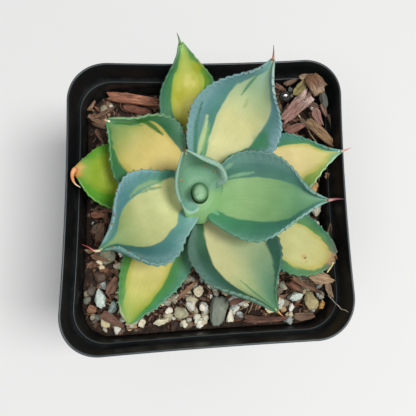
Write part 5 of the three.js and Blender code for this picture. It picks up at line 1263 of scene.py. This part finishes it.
# how much of each tone the leaf shows, inner zone then margins (red, green, blue)
TINT = {
    "leaf_upper_right": [[0.786, 0.772, 0.841], [0.711, 0.731, 0.841]],
    "leaf_right": [[0.631, 0.692, 0.654], [0.642, 0.725, 0.738]],
    "leaf_lower_right": [[0.677, 0.711, 0.844], [0.418, 0.53, 0.423]],
    "leaf_lower_left": [[0.583, 0.575, 0.542], [0.456, 0.587, 0.711]],
    "leaf_upper_left": [[0.669, 0.628, 0.498], [0.35, 0.521, 0.358]],
    "leaf_top": [[0.868, 0.782, 0.519], [0.742, 0.762, 0.933]],
    "leaf_right_outer": [[0.916, 0.877, 0.893], [0.588, 0.839, 1.144]],
    "leaf_right_lower": [[0.749, 0.745, 0.785], [0.497, 0.664, 0.987]],
    "leaf_bottom": [[0.671, 0.667, 0.497], [0.647, 0.755, 0.779]],
    "leaf_left_outer": [[0.759, 0.808, 0.35], [0.623, 0.892, 0.35]],
}


def leaf(name):
    L = {k: np.array(v, float) for k, v in LEAVES[name].items()}
    st = STYLE[name]
    nu, nv = st.get("nu", 150), 65
    u = np.linspace(0, 1, nu)
    v = np.linspace(-1, 1, nv)
    M0, L0, R0 = (hermite(US, L[k], u) for k in "MLR")
    base = u[:, None, None] * 0
    seed = st["seed"]
    # toothed margins: low scallops whose points carry the teeth
    length = np.r_[0, np.cumsum(np.linalg.norm(np.diff(M0, axis=0), axis=1))]
    total = length[-1]

    def scallop(side):
        edge = L0 if side < 0 else R0
        d = np.r_[0, np.cumsum(np.linalg.norm(np.diff(edge, axis=0), axis=1))]
        pitch = st.get("pitch", 2.3)
        r = np.random.default_rng(seed + (0 if side < 0 else 50))
        at, x = [], pitch * 0.8
        while x < d[-1] * 0.93:
            at.append(x)
            x += pitch * r.uniform(0.8, 1.25)
        at = np.array(at)
        ph = np.interp(d, at, np.arange(len(at)))
        wave = np.abs(np.cos(math.pi * (ph - np.round(ph)) ) ) ** 1.0
        bulge = (1 - 2 * np.abs(ph - np.round(ph))) ** 1.5
        env = smooth(0.12, 0.34, u) * (1 - smooth(0.82, 0.97, u))
        return at, d, (bulge - 0.4) * env

    sL, sR = scallop(-1), scallop(1)
    amp = st.get("scallop", 0.5)
    outL, outR = unit(L0 - M0), unit(R0 - M0)
    L1 = L0 + outL * (sL[2] * amp)[:, None]
    R1 = R0 + outR * (sR[2] * amp)[:, None]
    V = v[None, :, None]
    Lx = L0[:, None] + (L1 - L0)[:, None] * smooth(0.72, 1.0, -V)
    Rx = R0[:, None] + (R1 - R0)[:, None] * smooth(0.72, 1.0, V)
    P = M0[:, None] * (1 - V * V) + Lx * (V * V - V) / 2 + Rx * (V * V + V) / 2
    du = np.gradient(P, axis=0)
    dv = np.gradient(P, axis=1)
    N = unit(np.cross(du, dv))
    if N[nu // 2, nv // 2, 2] < 0:
        N = -N
    # gentle living unevenness of the blade, fading to nothing at the tip
    hw = np.linalg.norm(R0 - L0, axis=1) / 2
    hwm = np.maximum(hw, 0.2)
    wav = (fbm(P * 0.11 + seed, seed, 2) - 0.5) * 0.9 * (np.minimum(hwm / 6, 1))[:, None]
    P = P + N * wav[..., None]
    # rolled lip along the margins
    lip = st.get("lip", 0.12) * smooth(0.86, 1.0, np.abs(v))[None, :] * (np.minimum(hwm / 5, 1))[:, None]
    P = P + N * lip[..., None]
    th0, th1, th2 = L["th"]
    tm = np.interp(u, [0, 0.5, 1.0], [th0, th1, th2]) * np.minimum(1, 0.35 + hwm / 4.5)
    te = np.minimum(0.7, tm)
    T = te[:, None] + (tm - te)[:, None] * (1 - v[None] ** 2) ** 0.75
    keel = 0.25 * np.exp(-((v / 0.12) ** 2))[None] * np.minimum(1, hwm / 6)[:, None]
    Q = P - N * (T + keel)[..., None]
    # section ring: top left to right, rounded edge, underside right to left, rounded edge
    eL = (P[:, 0] * 0.5 + Q[:, 0] * 0.5) + unit(P[:, 0] - P[:, 1]) * 0.22
    eR = (P[:, -1] * 0.5 + Q[:, -1] * 0.5) + unit(P[:, -1] - P[:, -2]) * 0.22
    ring = np.concatenate([P, eR[:, None], Q[:, ::-1], eL[:, None]], 1)
    vv = np.r_[v, 1.0, v[::-1], -1.0]
    topmask = np.r_[np.ones(nv), 0.6, np.zeros(nv), 0.6]
    cols = ring.shape[1]
    # ---- colours
    b = np.array(BOUNDS[name])
    vl, vr = hermite(US, b[:, 0], u), hermite(US, b[:, 1], u)
    U = np.repeat(u[:, None], cols, 1)
    VV = np.repeat(vv[None], nu, 0)
    HW = np.repeat(hwm[:, None], cols, 1)
    zone = np.minimum(VV - vl[:, None], vr[:, None] - VV) * HW
    if "tipzone" in st:
        zone = np.minimum(zone, (st["tipzone"] - U) * total)
    # feathered ends: long thin tongues of the inner colour
    tongue = (fbm(np.stack([U * 1.2, VV * HW * 0.9, 0 * U], -1), seed + 5, 2) - 0.5) * st.get("tongue", 0.8)
    zone = zone + tongue
    gi, go = np.array(TINT[name])
    inn = ramp(st["inn"], U)
    if "inn_l" in st:
        k = smooth(st["lmix"][0], st["lmix"][1], VV)[..., None]
        inn = ramp(st["inn_l"], U) * (1 - k) + inn * k
    # warm heart, greener rim of the pale zone
    k = smooth(0.0, st.get("rimw", 2.2), zone)[..., None]
    inn = inn * (st.get("rimtone", 1.0) * (1 - k) + k) * 1.0 + (1 - k) * 0
    rimc = ramp(st["rim_in"], U) if "rim_in" in st else inn
    inn = rimc * (1 - k) + inn * k
    far = np.clip(-zone / np.maximum(HW * 0.45, 0.8), 0, 1)
    gl = ramp(st["ledge"], U) * smooth(0.15, 0.85, far)[..., None] + ramp(st["ldeep"], U) * (1 - smooth(0.15, 0.85, far))[..., None]
    gr = ramp(st["redge"], U) * smooth(0.15, 0.85, far)[..., None] + ramp(st["rdeep"], U) * (1 - smooth(0.15, 0.85, far))[..., None]
    side = smooth(-0.15, 0.15, VV - (vl + vr)[:, None] / 2)[..., None]
    out = gl * (1 - side) + gr * side
    inn, out = inn * gi, out * go
    pw = (0.2 * st.get("bloom", 0.8) ** 2 * smooth(0.5, 1.0, far))[..., None]
    out = out * (1 - pw) + lin((168, 196, 190))[None, None] * pw
    # streaks
    for pts, width, rgb, a in st.get("streaks", ()):
        pts = np.array(pts, float)
        best = np.full(U.shape, 1e9)
        X, Y = U * total, VV * HW
        for i in range(len(pts) - 1):
            a0 = np.array([pts[i][0] * total, pts[i][1] * np.interp(pts[i][0], u, hwm)])
            a1 = np.array([pts[i + 1][0] * total, pts[i + 1][1] * np.interp(pts[i + 1][0], u, hwm)])
            dd = a1 - a0
            t = np.clip(((X - a0[0]) * dd[0] + (Y - a0[1]) * dd[1]) / max(dd @ dd, 1e-9), 0, 1)
            s_all = (i + t) / (len(pts) - 1)
            w = width * (0.35 + 0.65 * np.sin(math.pi * np.clip(s_all, 0.04, 0.96)))
            best = np.minimum(best, np.hypot(X - a0[0] - t * dd[0], Y - a0[1] - t * dd[1]) / w)
        kk = (a * (1 - smooth(0.35, 0.75, best)))[..., None]
        c = lin(rgb)[None, None] * (gi + go) / 2
        out = out * (1 - kk) + c * kk
        inn = inn * (1 - kk) + c * kk
    # pale horny line along the rim of the leaf
    for sgn, u0, u1, rgb, a, wid in st.get("rims", ()):
        kk = smooth(-wid, -wid * 0.15, -(1 - VV * sgn) * HW + 0.25 * wid * (fbm(np.stack([U * 14, 0 * U, 0 * U + sgn], -1), seed + 21, 2) - 0.5)) * smooth(u0, u0 + 0.12, U) * (1 - smooth(u1 - 0.08, u1, U)) * a * (0.55 + 0.45 * fbm(np.stack([U * 11, 0 * U, 0 * U], -1), seed + 22, 2))
        kk = kk[..., None]
        c = lin(rgb)[None, None] * go
        out, inn = out * (1 - kk) + c * kk, inn * (1 - kk) + c * kk
    # patches: (u, v, radius mm, colour, strength)
    for pu, pv, rad, rgb, a in st.get("patches", ()):
        d = np.hypot((U - pu) * total, (VV - pv) * HW) / rad
        kk = (a * (1 - smooth(0.25, 1.45, d + 1.3 * (fbm(np.stack([U * total * 0.55, VV * HW * 0.8, 0 * U], -1), seed + 9, 3) - 0.5))))[..., None]
        c = lin(rgb)[None, None] * gi
        out, inn = out * (1 - kk) + c * kk, inn * (1 - kk) + c * kk
    # the underside is a shade duller
    und = (1 - np.repeat(topmask[None], nu, 0))[..., None]
    out = out * (1 - und * 0.18)
    inn = inn * (1 - und * 0.12)
    bloom = smooth(0.1, 0.8, far) * st.get("bloom", 0.8)
    pl = np.stack([U * total, VV * HW, und[..., 0] * 5 + seed], -1)
    f = ring_faces(nu, cols, True, flip=True)
    G = Mesh()
    # ends: fan strips
    nr = cols

    def cap(row, flip):
        o = row * nr
        faces = []
        top = [o + i for i in range(nv)]
        bot = [o + nv + 1 + (nv - 1 - i) for i in range(nv)]
        el, er = o + nr - 1, o + nv
        for i in range(nv - 1):
            q = (top[i], top[i + 1], bot[i + 1], bot[i])
            faces.append(q[::-1] if flip else q)
        t1, t2 = (top[-1], er, bot[-1]), (bot[0], el, top[0])
        faces += [t1[::-1] if flip else t1, t2[::-1] if flip else t2]
        return faces

    f += cap(0, False) + cap(nu - 1, True)
    G.add(ring.reshape(-1, 3), f, cin=inn.reshape(-1, 3), cout=out.reshape(-1, 3), zone=zone.ravel(), bloom=bloom.ravel(), p_leaf=pl.reshape(-1, 3))
    # orientation check: the middle of the top should face up
    fa = G.f[(nu // 2) * cols + nv // 2]
    A3 = ring.reshape(-1, 3)
    nn = np.cross(A3[fa[1]] - A3[fa[0]], A3[fa[2]] - A3[fa[1]])
    if nn @ N[nu // 2, nv // 2] < 0:
        G.f = [x[::-1] for x in G.f]

    def dark(rgb0, rgb1):
        def make(s, _):
            c = ramp([(0, rgb0), (0.45, rgb1), (1, rgb1)], s)
            n_ = len(s)
            return {"cin": c, "cout": c, "zone": np.full(n_, 2.0), "bloom": np.zeros(n_), "p_leaf": np.zeros((n_, 3))}
        return make

    # teeth
    r = np.random.default_rng(seed + 7)
    for sgn, (at, d, _), E, O, col in ((-1, sL, L1, outL, 0), (1, sR, R1, outR, nv - 1)):
        for x in at:
            k = int(np.clip(np.searchsorted(d, x), 2, nu - 3))
            if u[k] < st.get("bare", 0.27) or u[k] > 0.93:
                continue
            along = unit(E[k + 1] - E[k - 1])
            o = unit(P[k, col] - P[k, col - sgn * -1 if sgn < 0 else col - 1])
            ln = st.get("tooth", 0.6) * r.choice([0.5, 0.75, 1.0, 1.3]) * r.uniform(0.85, 1.15)
            # only some teeth have browned; the others keep the margin's pale green
            brown = r.uniform() < st.get("brown", 0.38)
            d0 = P[k, col] * 0.6 + Q[k, col] * 0.4
            p0 = d0 - o * 0.32
            p1 = d0 + o * ln * 0.55 + along * ln * 0.12
            p2 = d0 + o * ln + along * ln * 0.42 + N[k, col] * ln * 0.12
            tube(G, [p0, p1, p2], [0.34, 0.2, 0.03], np.zeros(3), cols=7, steps=7, extra=dark(st.get("tooth0", (104, 112, 78)) if brown else st.get("tooth2", (116, 148, 124)), st.get("tooth1", (78, 54, 42)) if brown else st.get("tooth3", (106, 128, 98))))
    # spine
    sp = np.array(L["spine"])
    tipc = P[-1, nv // 2] - N[-1, nv // 2] * T[-1, nv // 2] * 0.5
    back = P[int(nu * 0.965), nv // 2] - N[int(nu * 0.965), nv // 2] * T[int(nu * 0.965), nv // 2] * 0.5
    path = np.concatenate([[back, tipc * 0.9 + back * 0.1], sp])
    keep = [0]
    for i in range(1, len(path)):
        if np.linalg.norm(path[i] - path[keep[-1]]) > 0.25:
            keep.append(i)
    path = path[keep]
    sc = st["spine"]

    def spine_tone(s, _):
        c = ramp([(0, sc[0]), (0.35, sc[0]), (0.5, sc[1]), (0.75, sc[2]), (1, sc[-1])], s)
        n_ = len(s)
        return {"cin": c, "cout": c, "zone": np.full(n_, 2.0), "bloom": np.zeros(n_), "p_leaf": np.zeros((n_, 3))}

    w = st.get("spine_r", 0.5)
    tube(G, path, [w * 0.9, w, w * 0.85, w * 0.55, w * 0.3, 0.06], np.zeros(3), cols=12, steps=36, extra=spine_tone)
    extra_leaf(name, G, P, N)
    G.build(name + "_blade", MAT_LEAF, "leaf_variegated", (name,))


def solid_attrs(rgb0, rgb1):
    def make(s, _):
        c = ramp([(0, rgb0), (1, rgb1)], s)
        n_ = len(s)
        return {"cin": c, "cout": c, "zone": np.full(n_, 2.0), "bloom": np.zeros(n_), "p_leaf": np.zeros((n_, 3))}

    return make


def extra_leaf(name, G, P, N):
    if name == "leaf_right_lower":
        tube(G, [[37.1, -20.9, 79.0], [36.4, -22.3, 78.4], [35.5, -23.9, 77.2]], [0.35, 0.28, 0.2], np.zeros(3), cols=7, steps=12, extra=solid_attrs((196, 170, 120), (222, 206, 160)))


for nm in LEAVES:
    leaf(nm)


def cup():
    rows = np.array(CUP)
    nr, nc = 64, 61
    s = np.linspace(0, 1, nr)
    A = hermite(np.linspace(0, 1, 7), rows, s * 0.999)
    A = np.transpose(A, (1, 0, 2))
    B = hermite(np.linspace(0, 1, 5), A, np.linspace(0, 1, nc) * 0.9999)
    P = np.transpose(B, (1, 0, 2))
    du, dv = np.gradient(P, axis=0), np.gradient(P, axis=1)
    N = unit(np.cross(du, dv))
    hub = np.array([AXIS[0], AXIS[1], 0])
    outw = P - hub
    outw[..., 2] = -2
    sg = np.sign((N * outw).sum(-1).mean())
    N = N * sg
    th = np.interp(s, np.linspace(0, 1, 7), [0.9, 1.3, 1.4, 1.3, 1.1, 0.8, 0.5])
    c = np.linspace(-1, 1, nc)
    T = th[:, None] * (0.72 + 0.28 * (1 - c[None] ** 2) ** 0.5)
    roll = smooth(0.62, 0.93, np.abs(c))[None] * (smooth(0.12, 0.4, s) * (1 - smooth(0.82, 1.0, s)))[:, None]
    P = P - N * (roll * np.where(c > 0, 0.95, 0.3)[None])[..., None]
    T = T * (1 - 0.25 * roll) + roll * np.where(c > 0, 0.85, 0.25)[None]
    # soft roll of the margins
    Q = P + N * T[..., None]
    eL = (P[:, 0] + Q[:, 0]) / 2 + unit(P[:, 0] - P[:, 1]) * 0.2
    eR = (P[:, -1] + Q[:, -1]) / 2 + unit(P[:, -1] - P[:, -2]) * 0.2
    ring = np.concatenate([P, eR[:, None], Q[:, ::-1], eL[:, None]], 1)
    cols = ring.shape[1]
    cc = np.r_[c, 1.0, c[::-1], -1.0]
    inner = np.r_[np.ones(nc), 0.0, np.zeros(nc), 0.0]
    C = np.repeat(cc[None], nr, 0)
    S = np.repeat(s[:, None], cols, 1)
    edge = np.where(C > 0, smooth(0.66, 0.95, C), 0.75 * smooth(0.45, 0.95, -C))
    # the inner face is painted lighter than its own green to offset the shade deep in the cup
    face = ramp([(0, (102, 150, 118)), (0.4, (114, 156, 128)), (0.75, (118, 158, 132)), (1, (104, 146, 120))], S)
    # a deeper green fold down the right of the face, powder on the left
    fold = (0.55 * np.exp(-(((C - 0.3 - 0.25 * S) / 0.16) ** 2)) * smooth(0.15, 0.35, S) * (1 - smooth(0.7, 0.9, S)))[..., None]
    face = face * (1 - fold) + lin((86, 140, 92))[None, None] * fold
    outer = ramp([(0, (96, 150, 104)), (0.5, (122, 164, 134)), (1, (130, 172, 146))], S)
    rim = ramp([(0, (112, 150, 128)), (0.5, (132, 162, 146)), (1, (130, 160, 142))], S)
    k = inner[None, :, None]
    col = face * k + outer * (1 - k)
    col = col * (1 - edge[..., None]) + rim * edge[..., None]
    G = Mesh()
    f = ring_faces(nr, cols, True, flip=True)
    for row, flip in ((0, False), (nr - 1, True)):
        o = row * cols
        for i in range(nc - 1):
            q = (o + i, o + i + 1, o + nc + 1 + (nc - 2 - i), o + nc + 1 + (nc - 1 - i))
            f.append(q[::-1] if flip else q)
        t1, t2 = (o + nc - 1, o + nc, o + nc + 1), (o + cols - 2, o + cols - 1, o)
        f += [t1[::-1] if flip else t1, t2[::-1] if flip else t2]
    A3 = ring.reshape(-1, 3)
    fa = f[(nr // 2) * cols + nc // 2]
    nn = np.cross(A3[fa[1]] - A3[fa[0]], A3[fa[2]] - A3[fa[1]])
    if nn @ (-N[nr // 2, nc // 2]) < 0:
        f = [x[::-1] for x in f]
    n_ = nr * cols
    G.add(A3, f, cin=col.reshape(-1, 3), cout=col.reshape(-1, 3), zone=np.full(n_, -2.0), bloom=(0.25 + 0.5 * edge).ravel(), p_leaf=np.stack([S * 25, C * 8, 0 * S + 3], -1).reshape(-1, 3))
    # the heart: leaf bases packed round the bud, rising into the cup's inner face on the left and behind
    n = 240
    a = np.linspace(-math.pi, math.pi, n, endpoint=False)
    hx, hy = -3.39, 0.04
    ga = np.arctan2(P[..., 1] - hy, P[..., 0] - hx).ravel()
    gr = np.hypot(P[..., 0] - hx, P[..., 1] - hy).ravel()
    gz = P[..., 2].ravel()

    def wall(z):
        """Distance from the bud's middle to the cup's inner face at height z, for every angle."""
        out = np.full(n, np.nan)
        for i in range(n):
            d = np.abs((ga - a[i] + math.pi) % (2 * math.pi) - math.pi)
            near = (d < 0.08) & (np.abs(gz - z) < 0.6)
            if near.any():
                out[i] = gr[near].mean()
        ok = ~np.isnan(out)
        out = np.interp(a, a[ok], out[ok], period=2 * math.pi)
        k = np.array([1, 2, 3, 2, 1]) / 9
        return np.convolve(np.r_[out[-2:], out, out[:2]], k, "valid")

    r0 = 2.52 * 3.11 / np.hypot(3.11 * np.cos(a), 2.52 * np.sin(a))
    open_ = smooth(-0.05, 0.6, np.cos(a + 0.95))
    top_z = 88.0
    Rw = np.minimum(wall(top_z), 9.5)
    dome_r, dome_z = [0.0, 0.12, 0.35, 0.9, 1.7, 2.6, 3.6, 4.6, 5.2], [84.7, 84.85, 84.9, 84.6, 83.9, 82.6, 81.1, 79.5, 77.6]
    hv, hc = [], []

    def heart_ring(rw, zw, rd, zd, dr):
        rad = rw * (1 - open_) + (r0 + rd) * open_
        z = zw * (1 - open_) + zd * open_
        hv.append(np.c_[hx + rad * np.cos(a), hy + rad * np.sin(a), z])
        # below dr 0 the ring turns down into the gap round the bud's foot; both ramps go near black green there:
        # painted shade in that recess
        b1 = ramp([(-0.7, (44, 84, 40)), (-0.1, (48, 90, 44)), (0.1, (110, 150, 102)), (1.5, (128, 166, 116)), (4, (122, 164, 108)), (6, (90, 142, 90))], np.full(n, dr))
        b0 = ramp([(-0.7, (44, 84, 44)), (-0.1, (48, 92, 52)), (0.1, (84, 128, 94)), (1.5, (96, 138, 108)), (4, (104, 146, 118)), (6, (90, 142, 100))], np.full(n, dr))
        w = (smooth(0.1, 0.6, np.cos(a + 0.95)) * smooth(-1.85, -1.6, a + 0.08 * dr))[:, None]
        # the cup's left flap wraps on round the foot of the bud, blue with a pale edge
        past = dr - 1.75 - (-1.745 - a) * 4.24
        near = smooth(-2.75, -2.5, a) * (1 - smooth(-1.72, -1.6, a))
        w = np.maximum(w, (smooth(0.0, 0.35, past) * near)[:, None])
        flap = (smooth(-3.0, -2.6, a) * (1 - smooth(-0.15, 0.2, past)) * (1 - smooth(-1.75, -1.6, a)) * smooth(0.2, 0.8, dr))[:, None]
        line = (0.75 * np.exp(-((past / 0.32) ** 2)) * near * smooth(0.2, 0.8, dr))[:, None]
        cc = b1 * w + b0 * (1 - w)
        cc = cc * (1 - 0.7 * flap) + lin((104, 150, 134))[None] * 0.7 * flap
        hc.append(cc * (1 - line) + lin((176, 208, 188))[None] * line)

    for s in np.linspace(0, 1, 15):
        rd = 4.8 * s
        heart_ring(r0 + (Rw + 0.25 - r0) * s, 84.75 + (top_z - 84.75) * s**2.4, rd, np.interp(rd, dome_r, dome_z), rd)
    for k, z in enumerate((86.4, 84.4, 82.2, 80.0, 78.0)):
        heart_ring(wall(z) + 0.5, z, 5.0 - 0.1 * k, 78.6 - 0.55 * k, 5.0)
    for dr, z in ((2.0, 76.0), (-0.6, 76.4), (-0.7, 80), (-0.35, 83.2)):
        heart_ring(r0 + dr, z, dr, z, dr)
    rows_h = len(hv)
    hv, hc = np.concatenate(hv), np.concatenate(hc)
    hn = len(hv)
    hf = ring_faces(rows_h, n, True, flip=True) + [((rows_h - 1) * n + i, i, (i + 1) % n, (rows_h - 1) * n + (i + 1) % n)[::-1] for i in range(n)]
    q = np.array(hf)
    vol = sum(np.einsum("ij,ij->", hv[q[:, 0]] - hv[0], np.cross(hv[q[:, k]] - hv[0], hv[q[:, k + 1]] - hv[0])) for k in (1, 2))
    if vol < 0:
        hf = [x[::-1] for x in hf]
    G.add(hv, hf, cin=hc, cout=hc, zone=np.full(hn, -2.0), bloom=np.full(hn, 0.3), p_leaf=np.c_[hv[:, 2] * 0.5, np.tile(a, rows_h) * 3, np.zeros(hn)])
    # orange prickles inside the margins, and the dark terminal point
    for i, j, up in ((0.5, 0.74, 1), (0.5, 0.86, 1), (0.5, 0.34, 1), (0.38, 0.28, 1)):
        a, b2 = int(i * (nr - 1)), int(j * (nc - 1))
        p = P[a, b2]
        n0 = -N[a, b2]
        tube(G, [p - n0 * 0.2, p + n0 * 0.45, p + n0 * 0.85 + np.array([0, 0, 0.15])], [0.3, 0.2, 0.04], np.zeros(3), cols=7, steps=7, extra=solid_attrs((196, 140, 70), (176, 92, 46)))
    tip = P[-1].mean(0)
    tube(G, [P[-4].mean(0), tip, np.array(CUP_TIP)], [0.5, 0.5, 0.42, 0.12], np.zeros(3), cols=12, steps=16, extra=solid_attrs((120, 150, 110), (84, 34, 28)))
    G.build("leaf_inner_cup_blade", MAT_GLAU, "leaf_glaucous", ("leaf_inner_cup",))


cup()


def bud():
    rows = np.array(BUD)
    n, m = 72, 40
    z0, z1 = rows[0, 2], rows[-1, 2]
    q = np.linspace(0, 1, m)
    a = np.linspace(0, 2 * math.pi, n, endpoint=False)
    V, C = [], []
    R = hermite(np.linspace(0, 1, len(rows)), rows, q * 0.9999)
    for i in range(m):
        x, y, z, ra, rb = R[i]
        top = smooth(0.45, 1.0, q[i])
        z = z - 1.9 * top
        ra, rb, y = ra + 0.25 * top * (q[i] < 0.97), rb + 0.4 * top * (q[i] < 0.97), y + 0.06
        dome = 1.0
        zz = z
        if q[i] > 0.86:
            t = (q[i] - 0.86) / 0.14
            dome = math.sqrt(max(0.0, 1 - (t * 0.985) ** 2))
        # wrapped edge of the outermost unopened leaf: a step that winds up the bud
        w0 = 2.1 + 1.6 * q[i]
        da = (a - w0 + math.pi) % (2 * math.pi) - math.pi
        step = 0.09 * smooth(-0.35, 0.0, da) * (da < 0.0) - 0.05 * np.exp(-((da / 0.1) ** 2))
        rr = dome * (1 + step + 0.02 * np.sin(3 * a + q[i] * 4))
        V.append(np.c_[x + ra * rr * np.cos(a), y + rb * rr * np.sin(a), np.full(n, zz)])
        # painted shade along the step of the wrapped edge
        step_shade = np.exp(-((da / 0.16) ** 2))[:, None]
        # darker green low down, where the bud sinks into the heart: painted shade
        base = ramp([(0, (40, 84, 44)), (0.5, (70, 118, 70)), (0.62, (104, 144, 102)), (0.74, (122, 156, 122)), (1, (126, 160, 126))], np.full(n, q[i]))
        # painted shade on the side of the bud that faces the cup's wall, stronger lower down
        dim = (smooth(-0.2, 0.75, np.cos(a - 2.5)) * smooth(0.3, 0.75, 1.25 - q[i]))[:, None] * 0.75
        base = base * (1 - dim) + lin((84, 136, 92))[None] * dim
        C.append(base * (1 - step_shade * 0.55) + lin((70, 120, 66))[None] * step_shade * 0.55)
    f = ring_faces(m, n, True)
    f.append(tuple(range(n))[::-1])
    f.append(tuple((m - 1) * n + i for i in range(n)))
    vv, cc = np.concatenate(V), np.concatenate(C)
    G = Mesh()
    n_ = len(vv)
    G.add(vv, f, cin=cc, cout=cc, zone=np.full(n_, -2.0), bloom=np.full(n_, 0.35), p_leaf=np.c_[vv[:, 2], np.tile(a, m) * 2.5, np.zeros(n_)])
    G.build("bud_roll", MAT_GLAU, "leaf_glaucous", ("bud",))


bud()

# ------------------------------------------------------------------ stage, light, camera
fl = bpy.data.meshes.new("floor")
S = 3.0
fl.from_pydata([(-S, -S, 0), (S, -S, 0), (S, S, 0), (-S, S, 0)], [], [(0, 1, 2, 3)])
floor = bpy.data.objects.new("floor", fl)
bpy.context.collection.objects.link(floor)
fm, fnt, fb = material("floor_pale", 0.9, 0.1)
fnt.links.new(
    mix(fnt, noise(fnt, coords(fnt), 3.0, 2.0), (0.585,) * 3, (0.585 + 0.008,) * 3), fb.inputs["Base Color"]
)
fl.materials.append(fm)

world = bpy.data.worlds.new("studio")
bpy.context.scene.world = world
world.use_nodes = True
bg = next(n for n in world.node_tree.nodes if n.type == "BACKGROUND")
bg.inputs[0].default_value = (1.0, 1.0, 1.0, 1)
bg.inputs[1].default_value = 0.37


def area(name, loc, target, size, power, color=(1, 1, 1)):
    ld = bpy.data.lights.new(name, "AREA")
    ld.shape, ld.size, ld.size_y, ld.energy, ld.color = "RECTANGLE", size[0], size[1], power, color
    ob = bpy.data.objects.new(name, ld)
    bpy.context.collection.objects.link(ob)
    loc, target = np.array(loc, float), np.array(target, float)
    z = unit(loc - target)
    x = unit(np.cross([0, 1, 0.01], z))
    y = np.cross(z, x)
    m = np.eye(4)
    m[:3, 0], m[:3, 1], m[:3, 2], m[:3, 3] = x, y, z, loc
    ob.matrix_world = Matrix(m.tolist())
    return ob


area("key", (0.375, -0.09, 1.1), (0, 0, 0.05), (0.4, 0.3), 12.2, (1.0, 0.995, 0.98))
area("fill", (-0.38, -0.3, 1.1), (0, 0, 0.05), (0.55, 0.5), 4.7, (0.98, 0.99, 1.0))

cam = bpy.data.cameras.new("camera")
cam.lens, cam.sensor_width = 41.538, 36.0
cam.clip_start, cam.clip_end = 0.01, 20
co = bpy.data.objects.new("camera", cam)
bpy.context.collection.objects.link(co)
RW = np.array([[0.99516496, -0.03852707, 0.0903458], [-0.02186869, -0.98367955, -0.17859537], [0.09575207, 0.17575611, -0.97976596]])
m4 = np.eye(4)
m4[:3, 0], m4[:3, 1], m4[:3, 2] = RW[0], -RW[1], -RW[2]
m4[:3, 3] = np.array([-14.498, -28.914, 221.667]) * MM
co.matrix_world = Matrix(m4.tolist())
bpy.context.scene.camera = co
bpy.context.scene.view_settings.view_transform = "Standard"
bpy.context.scene.view_settings.look = "None"
